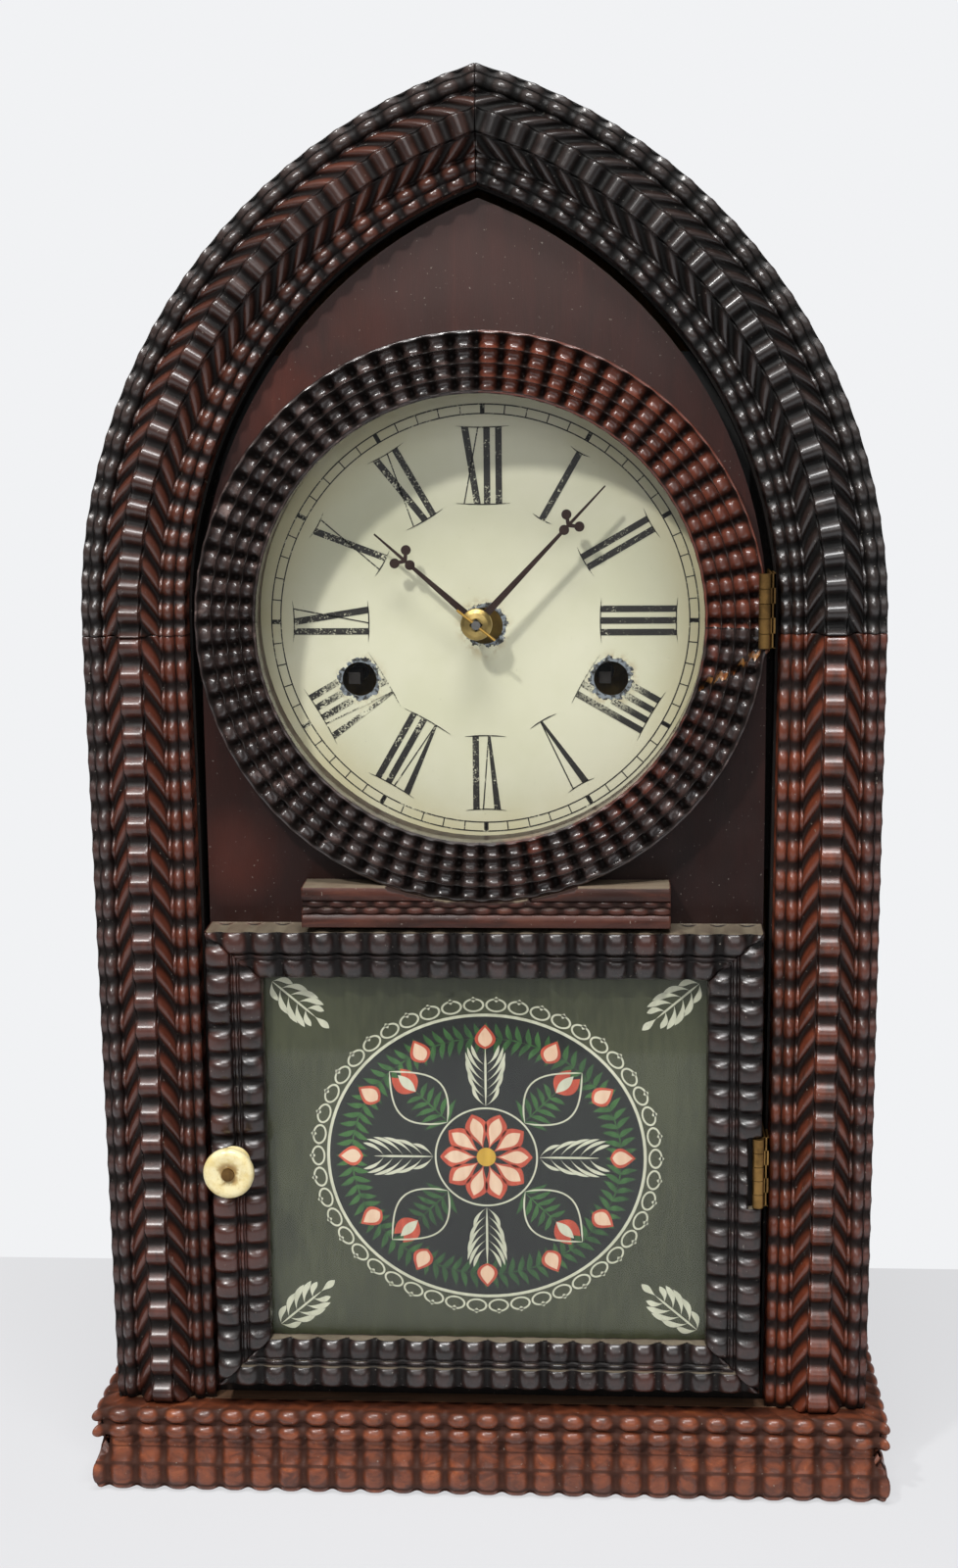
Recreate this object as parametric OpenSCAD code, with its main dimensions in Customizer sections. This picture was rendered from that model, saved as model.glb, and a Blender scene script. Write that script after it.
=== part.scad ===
// Beehive shelf clock, eight-day time and strike.
// Units are millimetres. X is to the right, Z is up and the front looks along -Y.
// The origin is at the middle of the underside. Depths are measured back from the
// case front, the plane that the mouldings lie on, and are negative in front of it.

/* [Case] */
// Plane of the case front, behind the mouldings
face_y = -29; // [-40:1:-20]
// Depth of the case behind its front
case_depth = 85; // [70:1:110]
// Thickness of the sides and of the bent arch
board_t = 8; // [5:0.5:12]
// Thickness of the back board
back_t = 8; // [5:0.5:12]
// Half width over the mouldings at the spring of the arch
half_w = 131.8; // [110:0.1:150]
// Radius of the outer edge of each arch side
arch_r = 182.64; // [150:0.01:210]
// Height of the arch centres
spring_z = 301; // [260:1:340]
// Height of the joint between leg and arch mouldings
seam_z = 297; // [260:1:340]
// Lean of the sides, closer together at the base
lean = 0.43; // [0:0.01:2]
// How far the shell lies inside the outer edge of the mouldings
shell_in = 4.84; // [2:0.01:8]
// Depth of the face frame that the door closes into
facing_t = 10; // [6:0.5:14]
// Space left where two pieces of the case meet
joint_gap = 0.05; // [0.02:0.01:0.1]

/* [Mouldings] */
// Flat strip at the outer edge
strip_w = 2.9; // [2:0.1:5]
// Outer bead
bead_w = 4.1; // [3:0.1:6]
// Slope on each side of the rib
slope_w = 6.4; // [4:0.1:9]
// Raised rib in the middle
rib_w = 7.3; // [5:0.1:10]
// Inner bead
bead_in_w = 4.0; // [3:0.1:6]
// Flat bead at the inner edge
edge_w = 3.9; // [2:0.1:6]
// Height of the edges above the case front
edge_h = 7; // [4:0.1:10]
// Height of the beads
bead_h = 9.4; // [6:0.1:12]
// Height of the rib
rib_h = 13.5; // [10:0.1:18]

/* [Base] */
// Height of the base
base_h = 30; // [20:1:50]
// How far the base's rails lie inside the outer edge of the mouldings
base_in = 5.8; // [2:0.1:10]
// How far the inside of the front run lies in front of the case front
base_front = 6.5; // [4:0.5:12]
// Depth from the case front to the back of the base
base_back = 88; // [80:1:120]
// Thickness of the top board
base_top_t = 6; // [4:0.5:10]
// Width of the rails
rail_w = 14; // [8:1:25]

/* [Door] */
// Gap between the mouldings and the door's edge
door_gap = 3.64; // [3.4:0.01:6]
// Height of the door's lower edge
door_low = 37; // [32:0.5:50]
// Depth of the door panel's front
panel_front = 0.4; // [0:0.1:3]
// Thickness of the door panel
panel_t = 8; // [6:0.5:12]
// Centre of the bezel ring across the door
ring_x = -0.4; // [-3:0.1:3]
// Height of the bezel ring's centre
ring_z = 301.3; // [290:0.1:310]
// How far ring and tablet frame lie inside the door's edge
trim_in = 0.16; // [0:0.01:3]
// Width of the bezel ring, from its edge to its opening
ring_w = 19.8; // [18:0.1:24]
// Height of the ring's crest above the panel
ring_h = 15.9; // [10:0.1:20]
// Thickness of the dial glass
dial_glass_t = 2; // [1.5:0.1:3]
// Left end of the ledge
ledge_left = -60; // [-70:1:-50]
// Right end of the ledge
ledge_right = 62; // [50:1:70]
// Underside of the ledge above the tablet frame
ledge_lift = 1.5; // [0.5:0.5:10]
// Height of the ledge's front
ledge_h = 13.5; // [8:0.5:16]
// Depth of the ledge's top
ledge_t = 14; // [8:0.5:18]
// Lower edge of the tablet frame above the door's edge
frame_lift = 1; // [0:0.5:6]
// Gap between the bezel ring and the tablet frame
frame_gap = 9.3; // [4:0.1:20]
// Width of the frame's upright strips
frame_side_w = 18.7; // [14:0.1:24]
// Width of the frame's bottom strip
frame_bottom_w = 16.5; // [14:0.1:24]
// Width of the frame's top strip
frame_top_w = 17; // [14:0.1:24]
// Height of the tablet frame's crest above the panel
frame_h = 16.4; // [10:0.1:20]
// Thickness of the tablet glass
tablet_glass_t = 1.8; // [1.5:0.1:3]
// Width of the rabbet that takes each glass
rabbet_w = 4; // [3:0.1:6]

/* [Hinges and latch] */
// How far the hinge axis lies inside the door's edge
hinge_in = 1.66; // [1.5:0.01:3]
// Depth of the hinge axis
hinge_d = -14; // [-18:0.1:-8]
// Radius of a hinge barrel
barrel_r = 1.9; // [1.5:0.1:3]
// Radius of the hinge pin
pin_r = 0.8; // [0.5:0.1:1.2]
// Running clearance of hinge and latch, on the radius
hinge_clear = 0.06; // [0.03:0.01:0.1]
// Height of a barrel
barrel_h = 24; // [15:0.5:40]
// Lower ends of the two barrels
barrel_z = [105, 293];
// Thickness of a hinge leaf
leaf_t = 0.6; // [0.5:0.1:1.2]
// Depth of the case leaf
case_leaf_w = 12; // [8:0.5:13]
// Depth of the door leaf
door_leaf_w = 18; // [10:0.5:20]
// How far the knob's centre lies inside the door's edge
knob_in = 8.66; // [6:0.01:12]
// Height of the knob
knob_z = 119.9; // [100:0.1:140]
// Radius of the knob
knob_r = 8.5; // [6:0.1:12]
// Depth of the knob's front
knob_front = -30; // [-36:0.5:-24]
// Radius of the latch spindle
spindle_r = 2.1; // [1.5:0.1:3]
// Reach of the latch tongue from the spindle
tongue_l = 20; // [15:0.5:26]
// Width of the latch tongue
tongue_w = 6; // [5:0.5:8]
// Thickness of the latch tongue
tongue_t = 2; // [1:0.1:2.5]

/* [Dial and hands] */
// Height of the dial centre
dial_z = 299.2; // [290:0.1:310]
// Half width of the dial sheet
dial_half = 88; // [80:1:92]
// Depth of the dial's front
dial_d = 15; // [12:0.5:20]
// Thickness of the dial sheet
dial_t = 1; // [0.6:0.1:1.5]
// Thickness of the boards behind the dial
cleat_t = 10; // [6:0.5:15]
// How far the movement stands left of the dial centre
movement_shift = 2; // [0:0.1:4]
// Radius of the centre hole
centre_hole_r = 6.2; // [5:0.1:8]
// How far the centre hole lies below the dial centre
centre_hole_drop = 1.6; // [0:0.1:3]
// Winding holes, from the middle
winding_x = 42.4; // [35:0.1:50]
// Winding holes, below the dial centre
winding_drop = 19.5; // [10:0.1:30]
// Radius of the winding holes
winding_hole_r = 5.8; // [5:0.1:8]
// Length of the minute hand
minute_l = 62; // [50:0.5:68]
// Trefoil of the minute hand, from the centre
minute_trefoil = 45; // [35:0.5:55]
// Minute hand, degrees clockwise from twelve
minute_angle = 43.3; // [0:0.1:360]
// Length of the hour hand
hour_l = 45; // [35:0.5:55]
// Trefoil of the hour hand, from the centre
hour_trefoil = 32; // [25:0.5:40]
// Hour hand, degrees clockwise from twelve
hour_angle = -48.7; // [-180:0.1:180]
// Thickness of the hands
hand_t = 0.8; // [0.5:0.1:1.2]
// Depth of the minute hand
minute_d = 4.2; // [3:0.1:6]
// Depth of the hour hand
hour_d = 7.2; // [6:0.1:9]
// Radius of the hand collet
collet_r = 5.3; // [4:0.1:7]
// Length of the taper pin
hand_pin_l = 16; // [10:0.5:20]
// Radius of the taper pin
hand_pin_r = 0.42; // [0.3:0.01:0.6]

/* [Movement] */
// Depth of the front plate
front_plate_d = 34; // [30:0.5:40]
// Depth of the back plate
back_plate_d = 66; // [60:0.5:70]
// Thickness of the plates
plate_t = 1.5; // [1:0.1:2.5]
// Half width of the plates
plate_half_w = 76; // [60:1:80]
// Plates above the centre arbor
plate_up = 62; // [50:1:70]
// Plates below the centre arbor
plate_down = 56; // [45:1:65]
// Running clearance of pivots and pipes, on the radius
run_clear = 0.05; // [0.02:0.01:0.09]
// Radius of the centre arbor
centre_r = 1.5; // [1.2:0.1:2]
// Radius of the other arbors
arbor_r = 1.3; // [1:0.1:2]
// Radius of their pivots
pivot_r = 1; // [0.6:0.1:1.2]
// Radius of the winding arbors
winding_r = 3; // [2:0.1:4]
// Across the flats of the winding squares
winding_square = 4; // [3:0.1:5]
// Teeth of the great wheels
great_teeth = 72; // [60:1:90]
// Module of the great wheels
great_mod = 0.85; // [0.6:0.01:1]
// Leaves of the train pinions
leaves = 8; // [6:1:12]
// Leaves of the centre pinion, which has the arbor inside it
centre_leaves = 10; // [8:1:14]
// Teeth of the second wheels
second_teeth = 60; // [40:1:80]
// Teeth of the centre wheel
centre_teeth = 72; // [60:1:90]
// Teeth of the third wheel
third_teeth = 80; // [60:1:90]
// Teeth of the escape wheel
escape_teeth = 42; // [30:1:48]
// Radius of the escape wheel
escape_r = 14.5; // [10:0.1:20]
// Teeth of the third strike wheel
strike_third_teeth = 50; // [40:1:70]
// Teeth of cannon pinion, minute wheel, minute pinion and hour wheel
motion_teeth = [12, 36, 9, 36];
// Distance of the minute wheel's stud below the centre arbor
motion_drop = 12; // [10:0.5:16]

/* [Pendulum and strike] */
// Radius of the pendulum bob
bob_r = 19; // [15:0.5:25]
// Thickness of the bob
bob_t = 9; // [6:0.5:12]
// Height of the bob's centre
bob_z = 130; // [120:1:150]
// Depth of the pendulum rod
rod_d = 22; // [18:0.5:26]
// Radius of the pendulum rod
rod_r = 0.9; // [0.6:0.1:1.5]
// Length of the suspension strip
suspension_l = 15; // [12:0.5:18]
// Thickness of the suspension strip
suspension_t = 0.3; // [0.2:0.05:0.5]
// Height of the gong's centre
gong_z = 128; // [100:1:150]
// Turns of the gong
gong_turns = 5; // [3:1:7]
// Radius of the gong's foot
gong_foot_r = 20; // [14:0.5:26]
// Radius of the gong's post
gong_post_r = 5; // [4:0.5:6]
// Radius of the gong's first turn
gong_r = 8; // [6:0.5:12]
// Distance between turns
gong_pitch = 6; // [4:0.5:8]
// Radius of the gong wire
gong_wire_r = 1.2; // [0.8:0.1:2]
// How far the gong stands off the back board
gong_off = 15; // [12:0.5:20]
// Thickness of the gong's foot
gong_foot_t = 7; // [4:0.5:9]
// Radius of the hammer head
hammer_r = 4; // [3:0.5:6]
// Width of the fly's vane
fly_w = 18; // [12:1:20]
// Thickness of the fly's vane
fly_t = 0.6; // [0.4:0.1:1]

/* [Hidden] */

// Colours as the photograph shows them.
leg_wood = [0.35, 0.17, 0.13];
arch_wood = [0.17, 0.14, 0.13];
base_wood = [0.48, 0.25, 0.16];
dusty_wood = [0.42, 0.37, 0.29];
panel_wood = [0.13, 0.07, 0.06];
pine = [0.66, 0.5, 0.32];
brass = [0.7, 0.55, 0.28];
old_brass = [0.42, 0.31, 0.17];
steel = [0.45, 0.45, 0.46];
blued = [0.25, 0.2, 0.2];
bone = [0.9, 0.85, 0.63];
dial_white = [0.84, 0.83, 0.7];

// Arch: each side is struck from a centre on the far side of the middle.
arc_off = arch_r - half_w;
shell_r = arch_r - shell_in;
shell_in_r = shell_r - board_t;
side_out = half_w - shell_in;
side_in = side_out - board_t;
arc_fn = 96;
foot_in = (seam_z - base_h) * tan(lean);
cleat_lap = 8;
base_half_w = half_w - base_in;

// Breaks of the moulding's profile, from the outer edge inwards.
w1 = strip_w;
w2 = w1 + bead_w;
w3 = w2 + slope_w;
w4 = w3 + rib_w;
w5 = w4 + slope_w;
w6 = w5 + bead_in_w;
w7 = w6 + edge_w;
moulding = [[0, 0], [0, edge_h], [w1, edge_h], [w1 + 0.4, bead_h - 0.8],
    [w1 + bead_w / 2, bead_h], [w2 - 0.4, bead_h - 0.8], [w2, edge_h + 0.6],
    [w3 - 0.3, rib_h - 1.2], [w3, rib_h], [w4, rib_h], [w4 + 0.3, rib_h - 1.2],
    [w5, edge_h + 0.6], [w5 + 0.4, bead_h - 0.8], [w5 + bead_in_w / 2, bead_h],
    [w6 - 0.4, bead_h - 0.8], [w6, edge_h + 0.4], [w7, edge_h], [w7, 0]];

// Door: its arch is struck from the centres of the case arch.
door_r = arch_r - w7 - door_gap;
door_half_w = door_r - arc_off;
facing_in_r = door_r + 2.8;
ring_r = door_half_w - trim_in;
ring_open_r = ring_r - ring_w;
frame_half_w = door_half_w - trim_in;
frame_low = door_low + frame_lift;
frame_high = ring_z - ring_r - frame_gap;
ledge_low = frame_high + ledge_lift;
tablet_half_w = frame_half_w - frame_side_w;
tablet_low = frame_low + frame_bottom_w;
tablet_high = frame_high - frame_top_w;
frame_box = [[-frame_half_w, frame_low], [frame_half_w, frame_low],
    [frame_half_w, frame_high], [-frame_half_w, frame_high]];
tablet_box = [[-tablet_half_w, tablet_low], [tablet_half_w, tablet_low],
    [tablet_half_w, tablet_high], [-tablet_half_w, tablet_high]];
knob_x = knob_in - door_half_w;
hinge_x = door_half_w - hinge_in;
// The case leaf lies beside the leg, which leans in a little at the lower hinge.
leg_in_x = half_w - w7 - (seam_z - barrel_z[0]) * tan(lean);
leaf_x = leg_in_x - leaf_t - 0.36;

// Base profile: two beads over an ogee, as distance out and height.
bead1_z = base_h - 5.6;
bead2_z = bead1_z - 5.8;
base_out = 11.2;
base_profile = [[0, 0], [10, 0], [10.9, 3], [base_out, 6], [10.8, 8.5], [9.2, 12.5],
    [8.4, 16], [8.6, bead2_z], [9.7, bead2_z + 1.2], [10.1, bead2_z + 2.9],
    [9.7, bead1_z - 1.2], [9, bead1_z], [9.7, bead1_z + 1.1], [10, bead1_z + 2.8],
    [9.7, base_h - 1], [8.8, base_h], [0, base_h]];

// Ring profile, as radius and height above the panel.
ring_back = joint_gap;
glass_front = 3;
ring_profile = [[ring_r, ring_back], [ring_r, ring_h - 3.3], [ring_r - 1, ring_h - 0.9],
    [ring_r - 2.6, ring_h], [ring_r - 4.1, ring_h - 0.9], [ring_r - 5.1, ring_h - 3],
    [ring_r - 5.8, ring_h - 2], [ring_r - 6.9, ring_h - 1.5], [ring_r - 8, ring_h - 2.1],
    [ring_r - 8.6, ring_h - 3.2], [ring_r - 9.8, ring_h - 3.5],
    [ring_r - 11, ring_h - 7], [ring_r - 12.2, ring_h - 5.2],
    [ring_r - 13.1, ring_h - 3.2], [ring_r - 14.8, ring_h - 2.3],
    [ring_r - 16.5, ring_h - 3.3], [ring_r - 17.4, ring_h - 5], [ring_r - 18.1, ring_h - 4.4],
    [ring_r - 18.8, ring_h - 4.5], [ring_r - 19.6, ring_h - 6], [ring_open_r, glass_front],
    [ring_open_r + rabbet_w, glass_front], [ring_open_r + rabbet_w, ring_back]];

// Tablet glass, its painted layer and its stops, as heights above the panel.
tablet_front = 6.8;
tablet_glass_h = tablet_front - 0.1;
paint_t = 0.3;
paint_h = tablet_glass_h - tablet_glass_t - 0.1;
stop_h = paint_h - paint_t - 0.1;

gong_d = case_depth - back_t - gong_off;

// Movement: places are measured from the centre arbor, across and up.
arbor_z = dial_z;
round_n = 12;
// Reach of the shapes that only cut, beyond what they cut
sky = 300;
plate_back = front_plate_d + plate_t;
great_r = great_teeth * great_mod / 2;
great_reach = (great_teeth + leaves) * great_mod / 2;
great_at = [winding_x, -winding_drop];
second_at = great_at + great_reach * [cos(130), sin(130)];
second_mod = 2 * norm(second_at) / (second_teeth + centre_leaves);
third_at = [-4, 19];
centre_mod = 2 * norm(third_at) / (centre_teeth + leaves);
third_reach = 18.4;
third_dir = 45;
escape_at = third_at + third_reach * [cos(third_dir), sin(third_dir)];
third_mod = 2 * third_reach / (third_teeth + leaves);
verge_at = escape_at + [0, 20];
strike_at = [-winding_x, -winding_drop];
strike_dir = 70;
strike_second_at = strike_at + great_reach * [cos(strike_dir), sin(strike_dir)];
strike_mod = 0.6;
strike_reach = (second_teeth + leaves) * strike_mod / 2;
strike_third_dir = 100;
strike_third_at = strike_second_at
    + strike_reach * [cos(strike_third_dir), sin(strike_third_dir)];
fly_mod = 0.55;
fly_reach = (strike_third_teeth + leaves) * fly_mod / 2;
fly_dir = 60;
fly_at = strike_third_at + fly_reach * [cos(fly_dir), sin(fly_dir)];
hammer_at = [-14, -42];
motion_mod1 = 2 * motion_drop / (motion_teeth[0] + motion_teeth[1]);
motion_mod2 = 2 * motion_drop / (motion_teeth[2] + motion_teeth[3]);
pillar_r = 3;
pillar_x = plate_half_w - 2 * pillar_r;
pillars_at = [for (side = [-1, 1]) for (z = [2 * pillar_r - plate_down, plate_up - 2 * pillar_r])
    [side * pillar_x, z]];
window_x = plate_half_w - 10;
window_top = plate_up - 16;

// Depths of the wheels in the train.
great_d = plate_back + 2.5;
great_t = 2.5;
centre_d = great_d + 6;
third_d = centre_d + 6;
strike_third_d = third_d + 4;
second_d = back_plate_d - 3.5;
wheel_t = 2;
escape_d = front_plate_d - 4;
escape_t = 1.2;
minute_wheel_d = front_plate_d - 2.2;
hour_wheel_d = minute_wheel_d - 2.2;
motion_t = 1.5;
spring_front = great_d + great_t + 1.8;
spring_back = second_d - 2.5;
spring_in_r = 8;
spring_out_r = 27;

// Radius of a twelve-sided hole that a turned piece of radius r runs in.
function hole_r(r) = (r + run_clear) / cos(180 / round_n);
// Direction in degrees from one place to another.
function bearing(a, b) = atan2(b[1] - a[1], b[0] - a[0]);

// A flat shape stood upright, its own y upwards, between two depths.
module slab(d0, d1) {
    translate([0, face_y + d1, 0]) rotate([90, 0, 0]) linear_extrude(d1 - d0) children();
}

// The same at a place in the movement.
module at(p, d0, d1) {
    slab(d0, d1) translate([p[0] - movement_shift, p[1] + arbor_z]) children();
}

// Pointed arch, with sides below it that come in by the given amount at the foot.
module lancet(r, low, inward = 0) {
    half = r - arc_off;
    intersection() {
        translate([-arc_off, spring_z]) circle(r, $fn = arc_fn);
        translate([arc_off, spring_z]) circle(r, $fn = arc_fn);
        translate([-sky, spring_z - 1]) square([2 * sky, sky]);
    }
    polygon([[-half, spring_z], [-half, seam_z], [inward - half, low], [half - inward, low],
        [half, seam_z], [half, spring_z]]);
}

// The upper part of that arch.
module arch_top(r, low) {
    intersection() {
        lancet(r, low - 10);
        translate([-sky, low]) square([2 * sky, sky]);
    }
}

// Turns a piece by the lean of its side, about the outer corner of the seam.
module leaned(side) {
    translate([side * half_w, 0, seam_z]) rotate([0, side * lean, 0])
        translate([-side * half_w, 0, -seam_z]) children();
}

module base_frame() color(pine) {
    difference() {
        translate([joint_gap - base_half_w, face_y - base_front + joint_gap, 0])
            cube([2 * (base_half_w - joint_gap), base_back + base_front - joint_gap,
                base_h - base_top_t - joint_gap]);
        translate([rail_w - base_half_w, face_y - base_front + rail_w, -1])
            cube([2 * (base_half_w - rail_w), base_back + base_front - 2 * rail_w, base_h]);
    }
}

module base_top_board() color(dusty_wood) {
    translate([joint_gap - base_half_w, face_y - base_front + joint_gap, base_h - base_top_t])
        cube([2 * (base_half_w - joint_gap), base_back + base_front - joint_gap, base_top_t]);
}

// Front run, mitred at both corners.
module base_moulding_front() color(base_wood) {
    out_x = base_half_w + base_out;
    front_y = face_y - base_front;
    intersection() {
        translate([-out_x - 1, front_y, 0]) rotate([90, 0, 90]) linear_extrude(2 * out_x + 2)
            mirror([1, 0]) polygon(base_profile);
        linear_extrude(base_h + 1) polygon([[-base_half_w + joint_gap, front_y + joint_gap],
            [base_half_w - joint_gap, front_y + joint_gap],
            [out_x + 1 - joint_gap, front_y - base_out - 1],
            [joint_gap - out_x - 1, front_y - base_out - 1]]);
    }
}

// Side runs, from the front mitre to the back of the base.
module base_moulding_sides() color(base_wood) {
    front_y = face_y - base_front;
    for (side = [-1, 1]) intersection() {
        translate([side * base_half_w, face_y + base_back, 0]) rotate([90, 0, 0])
            linear_extrude(base_back + base_front + base_out + 1)
            scale([side, 1]) polygon(base_profile);
        linear_extrude(base_h + 1) scale([side, 1]) polygon([[base_half_w, front_y],
            [base_half_w + base_out + 1, front_y - base_out - 1],
            [base_half_w + base_out + 1, face_y + base_back],
            [base_half_w, face_y + base_back]]);
    }
}

module case_side(side) {
    intersection() {
        leaned(side) translate([side > 0 ? side_in : -side_out, face_y + joint_gap,
            base_h - 10]) cube([board_t, case_depth - joint_gap, seam_z - base_h + 20]);
        translate([-sky, -sky, base_h + joint_gap])
            cube([2 * sky, 2 * sky, seam_z - base_h - 2 * joint_gap]);
    }
}

module case_side_left() color(leg_wood) { case_side(-1); }
module case_side_right() color(leg_wood) { case_side(1); }

module case_arch() color(arch_wood) {
    slab(joint_gap, case_depth) difference() {
        arch_top(shell_r, seam_z);
        arch_top(shell_in_r, seam_z - 5);
    }
}

// Frame behind the mouldings, with a rail below the door.
module face_frame() color(pine) {
    slab(joint_gap, facing_t) difference() {
        lancet(shell_in_r - joint_gap, base_h + joint_gap, foot_in);
        lancet(facing_in_r, door_low - 1, foot_in);
    }
}

module back_board() color(pine) {
    slab(case_depth - back_t, case_depth)
        lancet(shell_in_r - joint_gap, base_h + joint_gap, foot_in);
}

module leg_moulding(side) {
    intersection() {
        leaned(side) translate([0, face_y, base_h - 10]) linear_extrude(seam_z - base_h + 20)
            scale([side, -1]) translate([half_w, 0]) mirror([1, 0]) polygon(moulding);
        translate([-sky, -sky, base_h + joint_gap])
            cube([2 * sky, 2 * sky, seam_z - base_h - 2 * joint_gap]);
    }
}

module leg_moulding_left() color(leg_wood) { leg_moulding(-1); }
module leg_moulding_right() color(leg_wood) { leg_moulding(1); }

module arch_moulding(side) {
    intersection() {
        translate([-side * arc_off, face_y, spring_z]) rotate([90, 0, 0])
            rotate_extrude($fn = arc_fn) translate([arch_r, 0]) mirror([1, 0])
            polygon(moulding);
        translate([side > 0 ? joint_gap : -sky - joint_gap, -sky, seam_z + joint_gap])
            cube([sky, 2 * sky, sky]);
    }
}

module arch_moulding_left() color(arch_wood) { arch_moulding(-1); }
module arch_moulding_right() color(arch_wood) { arch_moulding(1); }

// Boards that the dial is fixed to, beside it.
module dial_cleats() color(pine) {
    slab(dial_d + dial_t + joint_gap, dial_d + dial_t + cleat_t) for (flip = [0, 1]) intersection() {
        lancet(shell_in_r - 0.8, base_h, foot_in);
        mirror([flip, 0]) translate([dial_half - cleat_lap, dial_z - dial_half + 3])
            square([side_in - dial_half + cleat_lap, 2 * dial_half - 6]);
    }
}

module dial() color(dial_white) {
    slab(dial_d, dial_d + dial_t) difference() {
        translate([-dial_half, dial_z - dial_half]) square(2 * dial_half);
        translate([0, dial_z - centre_hole_drop]) circle(centre_hole_r, $fn = 48);
        for (side = [-1, 1]) translate([side * winding_x, dial_z - winding_drop])
            circle(winding_hole_r, $fn = 48);
    }
}

// Outline of a plate with its windows and the holes of every arbor.
module plate_shape() {
    difference() {
        polygon([[-plate_half_w, 4 - plate_down], [4 - plate_half_w, -plate_down],
            [plate_half_w - 4, -plate_down], [plate_half_w, 4 - plate_down],
            [plate_half_w, plate_up - 4], [plate_half_w - 4, plate_up],
            [4 - plate_half_w, plate_up], [-plate_half_w, plate_up - 4]]);
        polygon([[36, 18], [window_x - 2, 6], [window_x - 2, window_top], [24, window_top],
            [24, 26]]);
        polygon([[-window_x, 8], [20 - window_x, 8], [20 - window_x, window_top],
            [-window_x, window_top]]);
        polygon([[-6, 6 - plate_down], [14, 6 - plate_down], [14, -24], [4, -20], [-6, -24]]);
        for (p = [second_at, third_at, strike_second_at, strike_third_at, fly_at, hammer_at])
            translate(p) circle(hole_r(pivot_r), $fn = round_n);
        circle(hole_r(centre_r), $fn = round_n);
        translate(escape_at) circle(hole_r(0.8), $fn = round_n);
    }
}

module front_plate() color(brass) {
    at([0, 0], front_plate_d, front_plate_d + plate_t) difference() {
        plate_shape();
        for (p = [great_at, strike_at]) translate(p)
            circle(hole_r(winding_r), $fn = round_n);
    }
    at([0, -motion_drop], hour_wheel_d - 1, front_plate_d + 0.5)
        circle(pivot_r, $fn = round_n);
    at(verge_at, escape_d - 2, front_plate_d + 0.5) circle(pivot_r, $fn = round_n);
}

module back_plate() color(brass) {
    at([0, 0], back_plate_d, back_plate_d + plate_t) difference() {
        plate_shape();
        for (p = [great_at, strike_at]) translate(p) circle(hole_r(2), $fn = round_n);
    }
}

// Pillars between the plates, feet behind them, and the post that holds the pendulum.
module plate_pillars() color(brass) {
    for (p = pillars_at) {
        at(p, plate_back + joint_gap, back_plate_d - joint_gap)
            circle(pillar_r, $fn = round_n);
        at(p, back_plate_d + plate_t + joint_gap, case_depth - back_t - joint_gap)
            circle(pillar_r, $fn = round_n);
    }
    at([0, 0], rod_d - 2.4, front_plate_d - joint_gap) difference() {
        translate([verge_at[0] - 3, verge_at[1] + 4]) square([6, 5]);
        translate([verge_at[0] - 0.9, verge_at[1] + 2]) square([1.8, 6]);
    }
}

module gong_base() color([0.2, 0.19, 0.18]) {
    foot_d = case_depth - back_t - gong_foot_t;
    slab(foot_d, case_depth - back_t - joint_gap) translate([0, gong_z])
        circle(gong_foot_r, $fn = 48);
    slab(gong_d - 4, foot_d + 1) translate([0, gong_z]) circle(gong_post_r, $fn = 32);
    slab(gong_d - 2, gong_d + 2) translate([gong_post_r - 2, gong_z - 2])
        square([gong_r - gong_post_r + 2, 4]);
}

// Flat spiral of wire: half turns struck alternately from two centres.
module gong_coil() color(steel) {
    translate([0, face_y + gong_d, gong_z]) rotate([90, 0, 0])
    for (i = [0:2 * gong_turns - 1])
        translate([i % 2 == 0 ? 0 : gong_pitch / 2, 0, 0]) rotate([0, 0, i % 2 == 0 ? 0 : 180])
        rotate_extrude(angle = 180, $fn = 64)
        translate([gong_r + i * gong_pitch / 2, 0]) circle(gong_wire_r, $fn = 16);
}

// Each spring lies round its winding arbor as a wound pack.
module mainsprings() color(steel) {
    for (p = [great_at, strike_at]) at(p, spring_front, spring_back) difference() {
        circle(spring_out_r, $fn = 64);
        circle(spring_in_r, $fn = 48);
    }
}

// One knuckle of a hinge, from z0 up.
module knuckle(z0, h, bore) {
    translate([hinge_x, face_y + hinge_d, z0]) difference() {
        cylinder(h = h, r = barrel_r, $fn = 32);
        if (bore > 0) translate([0, 0, -1]) cylinder(h = h + 2, r = bore, $fn = 24);
    }
}

// Case half: three knuckles, the pin and a leaf against the leg.
module case_hinges() color(old_brass) {
    step = barrel_h / 5;
    for (z0 = barrel_z) {
        for (k = [0, 2, 4]) {
            knuckle(z0 + k * step + 0.1, step - 0.2, 0);
            translate([hinge_x, face_y + hinge_d - barrel_r, z0 + k * step + 0.1])
                cube([leaf_x - hinge_x + leaf_t, leaf_t, step - 0.2]);
        }
        translate([hinge_x, face_y + hinge_d, z0]) cylinder(h = barrel_h, r = pin_r, $fn = 24);
        translate([leaf_x, face_y + hinge_d - barrel_r, z0]) cube([leaf_t, case_leaf_w, barrel_h]);
    }
}

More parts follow.
